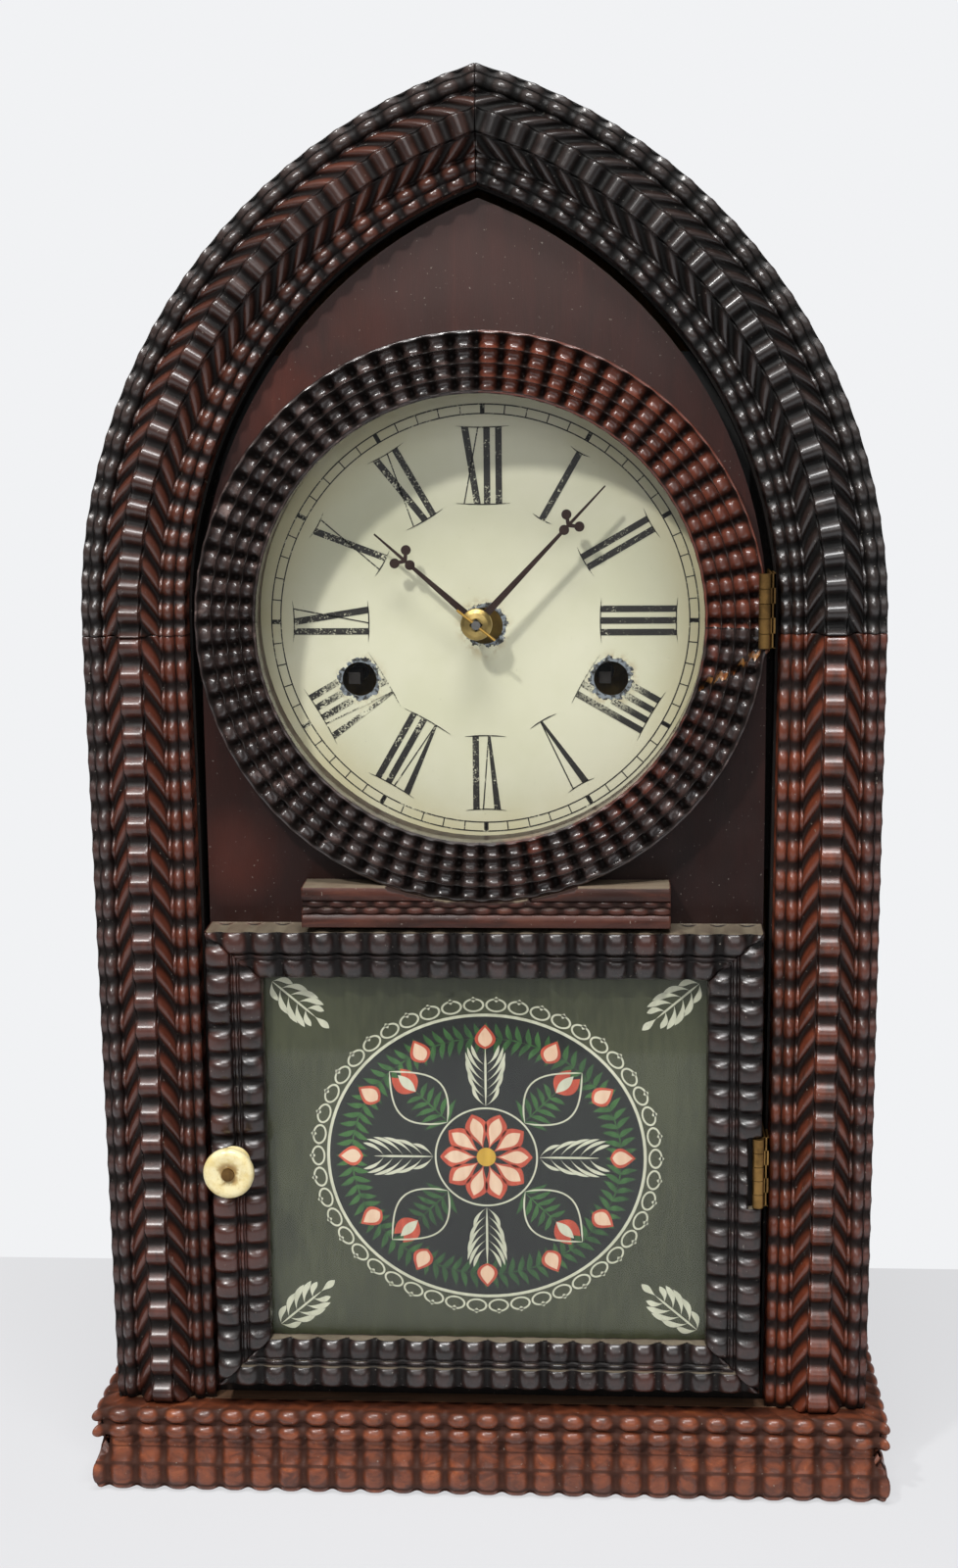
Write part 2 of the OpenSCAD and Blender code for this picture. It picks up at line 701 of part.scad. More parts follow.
// Door half: two knuckles and a leaf on the door's edge.
module door_hinges() color(old_brass) {
    step = barrel_h / 5;
    door_leaf_x = door_half_w + 0.15;
    for (z0 = barrel_z) difference() {
        union() {
            for (k = [1, 3]) {
                knuckle(z0 + k * step + 0.1, step - 0.2, 0);
                translate([hinge_x, face_y + hinge_d + barrel_r - leaf_t,
                    z0 + k * step + 0.1])
                    cube([door_leaf_x - hinge_x + leaf_t, leaf_t, step - 0.2]);
            }
            translate([door_leaf_x, face_y + hinge_d + barrel_r - leaf_t, z0])
                cube([leaf_t, door_leaf_w, barrel_h]);
        }
        translate([hinge_x, face_y + hinge_d, z0 - 1])
            cylinder(h = barrel_h + 2, r = pin_r + hinge_clear, $fn = 24);
    }
}

// Room for the barrels in the door's edge. It reaches left of them far enough for the
// case leaf when the door stands open.
module barrel_room() {
    for (z0 = barrel_z) translate([hinge_x - barrel_r - 1.4, face_y - 40, z0 - 0.4])
        cube([20, 40 + hinge_d + barrel_r + 0.4, barrel_h + 0.8]);
}

module door_panel() color(panel_wood) {
    slab(panel_front, panel_front + panel_t) difference() {
        lancet(door_r, door_low);
        translate([ring_x, ring_z]) circle(ring_open_r + 0.8, $fn = arc_fn);
        translate([-tablet_half_w - 0.7, tablet_low - 0.5])
            square([2 * tablet_half_w + 1.4, tablet_high - tablet_low + 1]);
        translate([knob_x, knob_z]) circle(spindle_r + hinge_clear, $fn = 32);
    }
}

module dial_bezel() color(arch_wood) {
    difference() {
        translate([ring_x, face_y + panel_front, ring_z]) rotate([90, 0, 0])
            rotate_extrude($fn = arc_fn) polygon(ring_profile);
        barrel_room();
    }
}

module dial_glass() color([0.8, 0.87, 0.86, 0.3]) {
    slab(panel_front - 0.8 - dial_glass_t, panel_front - 0.8) translate([ring_x, ring_z])
        circle(ring_open_r + rabbet_w - 0.3, $fn = arc_fn);
}

// Ledge coped round the ring.
module door_ledge() color(base_wood) {
    slab(panel_front - ledge_t, panel_front - joint_gap) difference() {
        translate([ledge_left, ledge_low]) square([ledge_right - ledge_left, ledge_h]);
        translate([ring_x, ring_z]) circle(ring_r + joint_gap, $fn = arc_fn);
    }
}

// Section of a frame strip, from its outer edge inwards, for a strip of width w.
module strip_section(w) {
    k = (w - rabbet_w) / 14.4;
    polygon([[0, joint_gap], [0, frame_h - 2.4], [1.2 * k, frame_h - 1], [2.6 * k, frame_h - 2],
        [4.2 * k, frame_h - 0.6], [6 * k, frame_h], [7.4 * k, frame_h - 1],
        [8.1 * k, frame_h - 3.6], [9.3 * k, frame_h - 3], [11.2 * k, frame_h - 2.6],
        [13.2 * k, frame_h - 3.6], [14.4 * k, frame_h - 5.2], [w - 1.6, frame_h - 5.6],
        [w, frame_h - 7.6], [w, tablet_front], [w - rabbet_w, tablet_front],
        [w - rabbet_w, joint_gap]]);
}

// One frame strip, cut to its mitres. It is drawn along Z with its outer edge at x = 0.
module strip(w, from, turn, length) {
    translate([from[0], face_y + panel_front, from[1]]) rotate([0, turn, 0])
        translate([0, 0, -1]) linear_extrude(length + 2) mirror([0, 1]) strip_section(w);
}

// Wedge that mitres the strip between corners i and i + 1.
module mitre_cut(i) {
    a = frame_box[i];
    b = frame_box[(i + 1) % 4];
    c = tablet_box[(i + 1) % 4];
    d = tablet_box[i];
    along = (b - a) / norm(b - a) * joint_gap;
    slab(panel_front - frame_h - 1, panel_front + 1) polygon([a + along, b - along, c - along, d + along]);
}

module frame_bottom() color(panel_wood) {
    intersection() {
        strip(tablet_low - frame_low, frame_box[1], -90, 2 * frame_half_w);
        mitre_cut(0);
    }
}

module frame_right() color(panel_wood) {
    difference() {
        intersection() {
            mirror([1, 0, 0]) strip(frame_half_w - tablet_half_w, frame_box[0], 0,
                frame_high - frame_low);
            mitre_cut(1);
        }
        barrel_room();
    }
}

module frame_top() color(panel_wood) {
    intersection() {
        strip(frame_high - tablet_high, frame_box[3], 90, 2 * frame_half_w);
        mitre_cut(2);
    }
}

module frame_left() color(panel_wood) {
    difference() {
        intersection() {
            strip(frame_half_w - tablet_half_w, frame_box[0], 0, frame_high - frame_low);
            mitre_cut(3);
        }
        slab(panel_front - frame_h - 1, panel_front + 1) translate([knob_x, knob_z]) circle(spindle_r + hinge_clear, $fn = 32);
    }
}

// Rectangle round the tablet opening, grown by g.
module tablet_rect(g) {
    translate([-tablet_half_w - g, tablet_low - g])
        square([2 * (tablet_half_w + g), tablet_high - tablet_low + 2 * g]);
}

module tablet_glass() color([0.75, 0.82, 0.8, 0.3]) {
    slab(panel_front - tablet_glass_h, panel_front - tablet_glass_h + tablet_glass_t)
        tablet_rect(rabbet_w - 0.4);
}

module tablet_paint() color([0.36, 0.38, 0.34]) {
    slab(panel_front - paint_h, panel_front - paint_h + paint_t) tablet_rect(rabbet_w - 0.4);
}

module glass_stops() color(pine) {
    slab(panel_front - stop_h, panel_front - joint_gap) difference() {
        tablet_rect(rabbet_w - 0.4);
        tablet_rect(0.6);
    }
}

// Turned knob with a collar behind it.
module door_knob() color(bone) {
    reach = -knob_front - frame_h + panel_front - 0.3;
    translate([knob_x, face_y + knob_front, knob_z]) rotate([-90, 0, 0])
        rotate_extrude($fn = 48) polygon([[spindle_r + joint_gap, 0.2],
            [knob_r - 1.2, 0.2], [knob_r - 0.3, 0.8], [knob_r, 1.8], [knob_r, 3.6],
            [knob_r - 0.6, 4.6], [5.4, 5.4], [4.6, 6.6], [4.6, reach - 1.4],
            [5.4, reach], [spindle_r + joint_gap, reach]]);
}

// Spindle through the door, with the tongue that turns behind the face frame.
module latch_tongue() color(old_brass) {
    tongue_d = facing_t + 0.4;
    slab(knob_front, tongue_d + tongue_t) translate([knob_x, knob_z])
        circle(spindle_r, $fn = 32);
    slab(tongue_d, tongue_d + tongue_t) translate([knob_x - tongue_w / 2, knob_z - tongue_l])
        square([tongue_w, tongue_l]);
}

// Outline of a toothed wheel. One tooth points along phase.
module teeth(n, mod, phase) {
    r = n * mod / 2;
    shape = [[-0.21, -1.2], [-0.07, 0.75], [0.07, 0.75], [0.21, -1.2]];
    polygon([for (i = [0:n - 1]) for (s = shape)
        let (a = phase + (i + s[0]) * 360 / n) (r + s[1] * mod) * [cos(a), sin(a)]]);
}

// Windows that leave four spokes between hub and rim.
module crossings(inner, outer, turn) {
    for (q = [0:3]) rotate(turn + 90 * q) {
        half = asin(1.6 / inner);
        wide = asin(1.6 / outer);
        polygon([for (k = [0:4]) let (a = 45 - (45 - wide) + k * (90 - 2 * wide) / 4)
            outer * [cos(a), sin(a)],
            for (k = [0:2]) let (a = 90 - half - k * (90 - 2 * half) / 2)
            inner * [cos(a), sin(a)]]);
    }
}

// A crossed wheel at a place, between two depths, with a round middle of radius bore.
module wheel(p, d0, d1, n, mod, phase, hub, rim, bore) {
    at(p, d0, d1) difference() {
        teeth(n, mod, phase);
        crossings(hub, n * mod / 2 - 1.2 * mod - rim, phase);
        if (bore > 0) circle(bore, $fn = round_n);
    }
}

// A pinion at a place. A gap faces the wheel that drives it, in direction dir.
module pinion(p, d0, d1, n, mod, dir) {
    at(p, d0, d1) teeth(n, mod, dir + 180 / n);
}

// An arbor between the plates with its two pivots.
module arbor(p, r, pr, d0) {
    at(p, plate_back + 0.4, back_plate_d - 0.4) circle(r, $fn = round_n);
    at(p, d0, back_plate_d + plate_t + 0.6) circle(pr, $fn = round_n);
}

// The centre arbor carries the cannon pinion, and the taper pin goes through its tip.
module centre_arbor() color(steel) {
    difference() {
        at([0, 0], 0.4, back_plate_d + plate_t + 0.6) circle(centre_r, $fn = round_n);
        hand_pin_place(hand_pin_r + run_clear);
    }
    at([0, 0], minute_wheel_d, minute_wheel_d + motion_t)
        teeth(motion_teeth[0], motion_mod1, 90 + 180 / motion_teeth[0]);
}

module hand_pin_place(r) {
    translate([-movement_shift, face_y + 1.2, arbor_z]) rotate([0, 39, 0]) rotate([0, 90, 0])
        translate([0, 0, -hand_pin_l / 2]) cylinder(h = hand_pin_l, r = r, $fn = round_n);
}

module hand_pin() color(brass) { hand_pin_place(hand_pin_r); }

// Domed collet with a square hole.
module hand_collet() color(brass) {
    difference() {
        translate([-movement_shift, face_y + 3.8, arbor_z]) rotate([90, 0, 0])
            rotate_extrude($fn = 48) polygon([[0, 0], [collet_r, 0], [collet_r - 0.2, 0.7],
                [collet_r - 1.4, 1.5], [collet_r - 3, 2], [0, 2.1]]);
        at([0, 0], 1, 5) rotate(45) square(3.2, center = true);
    }
}

// A hand that points to twelve: hub, tapered shank, three discs and a blade.
module hand_shape(length, trefoil, hub, bore) {
    difference() {
        union() {
            circle(hub, $fn = 24);
            polygon([[-1.3, 0], [1.3, 0], [0.5, trefoil], [-0.5, trefoil]]);
            polygon([[-0.55, trefoil - 1], [0.55, trefoil - 1], [0.25, length],
                [-0.25, length]]);
            translate([0, trefoil - 2.6]) circle(1.65, $fn = 24);
            for (flip = [0, 1]) mirror([flip, 0]) {
                translate([2.9, trefoil + 1.6]) circle(1.65, $fn = 24);
                polygon([[0.2, trefoil - 1.2], [3, trefoil + 1], [2.4, trefoil + 1.9],
                    [0.2, trefoil + 0.4]]);
            }
        }
        circle(bore, $fn = round_n);
    }
}

module minute_hand() color(blued) {
    at([0, 0], minute_d, minute_d + hand_t) rotate(-minute_angle)
        hand_shape(minute_l, minute_trefoil, 3.4, hole_r(centre_r));
}

module hour_hand() color(blued) {
    at([0, 0], hour_d, hour_d + hand_t) rotate(-hour_angle)
        hand_shape(hour_l, hour_trefoil, 4, hole_r(2.3));
}

// Hour wheel and the pipe that carries the hour hand.
module hour_wheel() color(brass) {
    difference() {
        union() {
            at([0, 0], hour_wheel_d, hour_wheel_d + motion_t)
                teeth(motion_teeth[3], motion_mod2, -90);
            at([0, 0], hour_d + hand_t + 0.3, hour_wheel_d + 0.5) circle(2.7, $fn = round_n);
            at([0, 0], hour_d - 0.3, hour_wheel_d + 0.5) circle(2.3, $fn = round_n);
        }
        at([0, 0], 0, 40) circle(hole_r(centre_r), $fn = round_n);
    }
}

module minute_wheel() color(brass) {
    difference() {
        union() {
            at([0, -motion_drop], minute_wheel_d, minute_wheel_d + motion_t)
                teeth(motion_teeth[1], motion_mod1, 90);
            at([0, -motion_drop], hour_wheel_d, minute_wheel_d + 0.5)
                teeth(motion_teeth[2], motion_mod2, 90 + 180 / motion_teeth[2]);
        }
        at([0, -motion_drop], 20, 40) circle(hole_r(pivot_r), $fn = round_n);
    }
}

// Click that holds the ratchet, on the back of a great wheel.
module click(p, turn) {
    at(p, great_d + great_t - 0.5, great_d + great_t + 1.2) rotate(turn)
        polygon([[9.4, -2], [12.4, -3], [12.8, 6], [10.6, 7], [9.3, 3]]);
}

module time_great_wheel() color(brass) {
    wheel(great_at, great_d, great_d + great_t, great_teeth, great_mod,
        bearing(great_at, second_at), 15, 3.4, hole_r(winding_r));
    click(great_at, 20);
}

// Strike great wheel with the count wheel in front of it.
module strike_great_wheel() color(brass) {
    wheel(strike_at, great_d, great_d + great_t, great_teeth, great_mod,
        bearing(strike_at, strike_second_at), 15, 3.4, hole_r(winding_r));
    click(strike_at, 160);
    at(strike_at, plate_back + 0.7, great_d + 0.5) difference() {
        circle(6, $fn = round_n);
        circle(hole_r(winding_r), $fn = round_n);
    }
    at(strike_at, plate_back + 0.7, plate_back + 1.7) difference() {
        teeth(90, 0.5, 0);
        for (h = [1:12]) rotate(360 / 90 * (h * (h + 1) / 2))
            translate([18.5, -0.7]) square([6, 1.4]);
        circle(hole_r(winding_r), $fn = round_n);
    }
}

// Winding arbor: square end, ratchet and the body that the spring hooks to.
module winding_arbor(p) {
    at(p, dial_d + dial_t + 1.5, front_plate_d - 0.5) square(winding_square, center = true);
    at(p, front_plate_d - 1, back_plate_d - 0.4) circle(winding_r, $fn = round_n);
    at(p, back_plate_d - 1, back_plate_d + plate_t + 0.6) circle(2, $fn = round_n);
    at(p, great_d + great_t + 0.35, great_d + great_t + 1.25)
        polygon([for (i = [0:15]) for (s = [[0, 8.6], [0.9, 7]])
            s[1] * [cos((i + s[0]) * 22.5), sin((i + s[0]) * 22.5)]]);
}

module time_winding_arbor() color(steel) { winding_arbor(great_at); }
module strike_winding_arbor() color(steel) { winding_arbor(strike_at); }

module time_second_wheel() color(brass) {
    arbor(second_at, arbor_r, pivot_r, front_plate_d - 0.6);
    pinion(second_at, great_d - 0.8, great_d + great_t + 0.8, leaves, great_mod,
        bearing(second_at, great_at));
    wheel(second_at, second_d, second_d + wheel_t, second_teeth, second_mod,
        bearing(second_at, [0, 0]), 5, 2.4, 0);
}

// The centre wheel and its pinion ride on a pipe round the centre arbor.
module centre_wheel() color(brass) {
    difference() {
        union() {
            wheel([0, 0], centre_d, centre_d + wheel_t, centre_teeth, centre_mod,
                bearing([0, 0], third_at), 5, 2.2, 0);
            at([0, 0], centre_d - 2, second_d + wheel_t + 0.6) circle(2.05, $fn = round_n);
            pinion([0, 0], second_d - 0.6, second_d + wheel_t + 0.6, centre_leaves,
                second_mod, bearing([0, 0], second_at));
        }
        at([0, 0], 30, 80) circle(hole_r(centre_r), $fn = round_n);
    }
}

module third_wheel() color(brass) {
    arbor(third_at, arbor_r, pivot_r, front_plate_d - 0.6);
    pinion(third_at, centre_d - 0.8, centre_d + wheel_t + 0.8, leaves, centre_mod,
        bearing(third_at, [0, 0]));
    wheel(third_at, third_d, third_d + wheel_t, third_teeth, third_mod,
        bearing(third_at, escape_at), 5, 2.2, 0);
}

// Escape wheel in front of the front plate, with slender leaning teeth.
module escape_wheel() color(brass) {
    at(escape_at, plate_back + 0.4, back_plate_d - 0.4) circle(1, $fn = round_n);
    at(escape_at, escape_d, back_plate_d + plate_t + 0.6) circle(0.8, $fn = round_n);
    pinion(escape_at, third_d - 0.8, third_d + wheel_t + 0.8, leaves, third_mod,
        bearing(escape_at, third_at));
    at(escape_at, escape_d, escape_d + escape_t) difference() {
        polygon([for (i = [0:escape_teeth - 1])
            for (s = [[0, escape_r - 2.4], [0.35, escape_r], [0.5, escape_r],
                [0.62, escape_r - 2.4]])
            let (a = (i + s[0]) * 360 / escape_teeth) s[1] * [cos(a), sin(a)]]);
        crossings(4, escape_r - 4.4, 0);
    }
}

// Verge: bent strip over the escape wheel and a crutch that forks round the rod.
module verge() color(steel) {
    difference() {
        union() {
            at(verge_at, escape_d - 0.4, escape_d + 1.6) circle(2.6, $fn = round_n);
            at(verge_at, escape_d, escape_d + escape_t) for (side = [-1, 1]) scale([side, 1])
                polygon([[0, 1.4], [6, -0.6], [10.6, -6.4], [9.6, -7.6], [8.4, -6.2],
                    [5, -2.4], [0, -1.4]]);
            at(verge_at, escape_d - 1.6, escape_d - 0.4) {
                circle(2.6, $fn = round_n);
                translate([-1, -26]) square([2, 26]);
                translate([-2.6, -27]) square([5.2, 2]);
            }
            for (side = [-1, 1]) at(verge_at + [side * 1.8, -26], rod_d - 1.6, escape_d - 0.5)
                circle(0.5, $fn = round_n);
        }
        at(verge_at, 20, 40) circle(hole_r(pivot_r), $fn = round_n);
    }
}

// Spring strip at the top, wire rod, and the nut under the bob.
module pendulum_rod() color(steel) {
    foot = bob_z - bob_r - 9 - arbor_z;
    at([0, 0], rod_d - 1.5, rod_d + 1.5)
        translate([verge_at[0] - suspension_t / 2, verge_at[1] + 6 - suspension_l])
        square([suspension_t, suspension_l]);
    translate([verge_at[0] - movement_shift, face_y + rod_d, arbor_z + foot])
        cylinder(h = verge_at[1] + 7 - suspension_l - foot, r = rod_r, $fn = round_n);
    translate([verge_at[0] - movement_shift, face_y + rod_d, bob_z - bob_r - 4])
        cylinder(h = 3, r = 3, $fn = round_n);
}

module pendulum_bob() color(brass) {
    difference() {
        translate([verge_at[0] - movement_shift, face_y + rod_d, bob_z]) rotate([90, 0, 0])
            rotate_extrude($fn = 48) polygon([[0, -bob_t / 2], [8, -bob_t / 2 + 0.5],
                [14, -bob_t / 2 + 1.8], [bob_r, -0.6], [bob_r, 0.6],
                [14, bob_t / 2 - 1.8], [8, bob_t / 2 - 0.5], [0, bob_t / 2]]);
        translate([verge_at[0] - movement_shift, face_y + rod_d, bob_z - bob_r - 1])
            cylinder(h = 2 * bob_r + 2, r = hole_r(rod_r), $fn = round_n);
    }
}

module strike_second_wheel() color(brass) {
    arbor(strike_second_at, arbor_r, pivot_r, front_plate_d - 0.6);
    pinion(strike_second_at, great_d - 0.8, great_d + great_t + 0.8, leaves, great_mod,
        bearing(strike_second_at, strike_at));
    wheel(strike_second_at, second_d, second_d + wheel_t, second_teeth, strike_mod,
        bearing(strike_second_at, strike_third_at), 5, 2.4, 0);
}

module strike_third_wheel() color(brass) {
    arbor(strike_third_at, arbor_r, pivot_r, front_plate_d - 0.6);
    pinion(strike_third_at, second_d - 0.6, second_d + wheel_t + 0.6, leaves, strike_mod,
        bearing(strike_third_at, strike_second_at));
    wheel(strike_third_at, strike_third_d, strike_third_d + wheel_t, strike_third_teeth,
        fly_mod, bearing(strike_third_at, fly_at), 4.5, 2.2, 0);
}

module strike_fly() color(brass) {
    arbor(fly_at, arbor_r, pivot_r, front_plate_d - 0.6);
    pinion(fly_at, strike_third_d - 0.8, strike_third_d + wheel_t + 0.8, leaves, fly_mod,
        bearing(fly_at, strike_third_at));
    at(fly_at, great_d + 2, strike_third_d - 2) square([fly_w, fly_t], center = true);
}

// Hammer: arbor, tail, rod and a head that hangs beside the gong.
module strike_hammer() color(steel) {
    drop = arbor_z + hammer_at[1] - gong_z - gong_r - gong_turns * gong_pitch
        - hammer_r - 0.5;
    arbor(hammer_at, arbor_r, pivot_r, front_plate_d - 0.6);
    at(hammer_at, gong_d - 4, gong_d - 2.6) {
        circle(3, $fn = round_n);
        translate([-1, -drop]) square([2, drop]);
        translate([0, -1]) square([9, 2]);
    }
    at(hammer_at + [0, -drop], gong_d - 5, gong_d + 5) circle(hammer_r, $fn = round_n);
}

base_frame();
base_top_board();
base_moulding_front();
base_moulding_sides();
case_side_left();
case_side_right();
case_arch();
face_frame();
back_board();
leg_moulding_left();
leg_moulding_right();
arch_moulding_left();
arch_moulding_right();
dial_cleats();
dial();
front_plate();
back_plate();
plate_pillars();
gong_base();
gong_coil();
mainsprings();
case_hinges();
door_panel();
dial_bezel();
dial_glass();
door_ledge();
frame_top();
frame_bottom();
frame_left();
frame_right();
tablet_glass();
tablet_paint();
glass_stops();
door_hinges();
door_knob();
latch_tongue();
centre_arbor();
minute_hand();
hand_collet();
hand_pin();
hour_wheel();
hour_hand();
minute_wheel();
time_great_wheel();
time_winding_arbor();
time_second_wheel();
centre_wheel();
third_wheel();
escape_wheel();
verge();
pendulum_rod();
pendulum_bob();
strike_great_wheel();
strike_winding_arbor();
strike_second_wheel();
strike_third_wheel();
strike_fly();
strike_hammer();
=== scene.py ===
from math import acos, asin, cos, degrees, hypot, pi, radians, sin

import bmesh
import bpy
import numpy as np
from mathutils import Matrix, Vector


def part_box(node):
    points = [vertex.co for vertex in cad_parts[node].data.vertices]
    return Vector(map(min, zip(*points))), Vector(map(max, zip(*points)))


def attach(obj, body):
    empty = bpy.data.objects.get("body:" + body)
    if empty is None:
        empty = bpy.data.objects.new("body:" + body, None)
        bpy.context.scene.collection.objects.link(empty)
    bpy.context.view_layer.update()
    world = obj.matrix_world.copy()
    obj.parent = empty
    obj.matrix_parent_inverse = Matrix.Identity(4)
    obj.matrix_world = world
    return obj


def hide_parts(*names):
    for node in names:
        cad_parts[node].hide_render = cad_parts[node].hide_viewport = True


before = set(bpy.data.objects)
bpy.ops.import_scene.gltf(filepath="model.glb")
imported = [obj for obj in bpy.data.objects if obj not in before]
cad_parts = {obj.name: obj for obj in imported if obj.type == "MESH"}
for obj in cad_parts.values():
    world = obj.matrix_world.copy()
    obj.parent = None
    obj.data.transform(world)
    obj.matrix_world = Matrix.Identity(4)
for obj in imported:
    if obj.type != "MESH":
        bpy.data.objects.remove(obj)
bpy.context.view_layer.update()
scene = bpy.context.scene
scene.view_settings.view_transform = "Standard"
MM = 0.001


# Camera and studio
# The camera stands a little to the right of the clock and above it, as in the
# photograph. The clock stands on a pale table top in front of a pale wall.
camera_at = (43.9, -770.2, 378.3)
camera_yaw, camera_pitch, camera_roll = radians(-3.5), radians(10.07), radians(-0.598)
focal_px, frame_h_px, sensor_h = 2314.8, 1600, 36

ahead = Vector((sin(camera_yaw) * cos(camera_pitch), cos(camera_yaw) * cos(camera_pitch),
                -sin(camera_pitch)))
level = Vector((cos(camera_yaw), -sin(camera_yaw), 0))
upward = level.cross(ahead)
side = level * cos(camera_roll) + upward * sin(camera_roll)
above = upward * cos(camera_roll) - level * sin(camera_roll)
camera = bpy.data.objects.new("camera", bpy.data.cameras.new("camera"))
scene.collection.objects.link(camera)
camera.matrix_world = Matrix.Translation(Vector(camera_at) * MM) @ Matrix(
    (side, above, -ahead)).transposed().to_4x4()
camera.data.sensor_fit = "VERTICAL"
camera.data.sensor_height = sensor_h
camera.data.lens = focal_px / frame_h_px * sensor_h
scene.camera = camera


class Sock:
    """An output socket of a shader or geometry tree that does arithmetic."""

    def __init__(self, tree, out=None):
        self.tree, self.out = tree, out

    def node(self, kind, settings=None, sockets=None, out=0):
        """Adds a node and returns one of its outputs."""
        made = self.tree.nodes.new(kind)
        for key, value in (settings or {}).items():
            setattr(made, key, value)
        for key, value in (sockets or {}).items():
            if isinstance(value, Sock):
                self.tree.links.new(value.out, made.inputs[key])
            else:
                made.inputs[key].default_value = value
        return Sock(self.tree, made.outputs[out])

    def twin(self, out):
        """Another output of the same node."""
        return Sock(self.tree, self.out.node.outputs[out])

    def math(self, operation, *values):
        return self.node("ShaderNodeMath", {"operation": operation},
                         {i: v for i, v in enumerate(values)})

    def __add__(self, other):
        return self.math("ADD", self, other)

    def __sub__(self, other):
        return self.math("SUBTRACT", self, other)

    def __rsub__(self, other):
        return self.math("SUBTRACT", other, self)

    def __mul__(self, other):
        return self.math("MULTIPLY", self, other)

    def __truediv__(self, other):
        return self.math("DIVIDE", self, other)

    def __pow__(self, other):
        return self.math("POWER", self, other)

    def __lt__(self, other):
        return self.math("LESS_THAN", self, other)

    def __gt__(self, other):
        return self.math("GREATER_THAN", self, other)

    __radd__ = __add__
    __rmul__ = __mul__

    def larger(self, other):
        return self.math("MAXIMUM", self, other)

    def ramp(self, low, high, to_low=0.0, to_high=1.0):
        """The value taken smoothly from low..high to to_low..to_high."""
        return self.node("ShaderNodeMapRange", {"interpolation_type": "SMOOTHSTEP"},
                         {0: self, 1: low, 2: high, 3: to_low, 4: to_high})

    def mix(self, first, second):
        """Colour first where the value is 0 and second where it is 1."""
        def colour(c):
            return c if isinstance(c, Sock) else (*c, 1)
        return self.node("ShaderNodeMix", {"data_type": "RGBA"},
                         {0: self, 6: colour(first), 7: colour(second)}, 2)

    def noise(self, at, scale, detail=3.0, rough=0.5, distort=0.0):
        return self.node("ShaderNodeTexNoise", {},
                         {"Vector": at, "Scale": scale, "Detail": detail,
                          "Roughness": rough, "Distortion": distort})

    def stretch(self, at, scale, move=(0, 0, 0)):
        return self.node("ShaderNodeMapping", {},
                         {"Vector": at, "Scale": scale, "Location": move})

    def place(self):
        """Object coordinates, which are the clock's own in metres."""
        return self.node("ShaderNodeTexCoord", {}, {}, "Object")

    def stored(self, name):
        """A value that the mesh carries at its points."""
        return self.node("ShaderNodeAttribute", {"attribute_name": name}, {}, "Fac")

    def reach(self, at, x, z):
        """Distance in millimetres from a front-to-back line through x, z."""
        flat = self.stretch(at, (1, 0, 1))
        return self.node("ShaderNodeVectorMath", {"operation": "DISTANCE"},
                         {0: flat, 1: (x * MM, 0, z * MM)}, 1) / MM


def srgb(code):
    """Linear colour of a six-digit code."""
    parts = [int(code[i:i + 2], 16) / 255 for i in (0, 2, 4)]
    return tuple(c / 12.92 if c <= 0.04045 else ((c + 0.055) / 1.055) ** 2.4 for c in parts)


def shade_world():
    """Pale wall where it is seen, and a plain soft light elsewhere."""
    world = bpy.data.worlds.new("studio")
    world.use_nodes = True
    scene.world = world
    world.node_tree.nodes.clear()
    s = Sock(world.node_tree)
    path = s.node("ShaderNodeLightPath", {}, {}, "Is Camera Ray")
    seen = path.larger(path.twin("Is Glossy Ray") * 0.12).larger(
        path.twin("Is Transmission Ray"))
    wall = s.node("ShaderNodeBackground", {}, {"Color": (*srgb("f1f2f4"), 1), "Strength": 1.0})
    soft = s.node("ShaderNodeBackground", {}, {"Color": (0.93, 0.96, 1.0, 1), "Strength": 0.18})
    both = s.node("ShaderNodeMixShader", {}, {0: seen, 1: soft, 2: wall})
    s.tree.links.new(both.out, s.tree.nodes.new("ShaderNodeOutputWorld").inputs["Surface"])


shade_world()


def lamp(name, at, aim, size, power, colour=(1, 1, 1)):
    data = bpy.data.lights.new(name, "AREA")
    data.shape, data.size, data.size_y = "RECTANGLE", size[0], size[1]
    data.energy, data.color = power, colour
    made = bpy.data.objects.new(name, data)
    scene.collection.objects.link(made)
    made.location = at
    made.rotation_euler = (Vector(aim) - Vector(at)).to_track_quat("-Z", "Y").to_euler()


middle = (0, 0, 0.25)
lamp("key", (-0.52, -0.93, 1.3), middle, (0.09, 0.09), 13.6, (1, 0.99, 0.97))
lamp("fill", (0.3, -1.5, 0.95), middle, (1.4, 0.8), 6.5, (0.98, 0.99, 1))
lamp("top", (0.05, -0.5, 1.4), middle, (0.6, 0.26), 14.0)


def new_material(name):
    """An empty material and the socket that its tree grows from."""
    made = bpy.data.materials.new(name)
    made.use_nodes = True
    made.node_tree.nodes.clear()
    return made, Sock(made.node_tree)


def surface(made, s, sockets, bump=None):
    """Puts a Principled shader on a material; bump is (height, distance, strength)."""
    if bump:
        sockets["Normal"] = s.node("ShaderNodeBump", {}, {
            "Height": bump[0], "Distance": bump[1], "Strength": bump[2]})
    fixed = {k: (*v, 1) if isinstance(v, tuple) and len(v) == 3 else v
             for k, v in sockets.items()}
    shader = s.node("ShaderNodeBsdfPrincipled", {}, fixed)
    s.tree.links.new(shader.out,
                     s.tree.nodes.new("ShaderNodeOutputMaterial").inputs["Surface"])
    return made


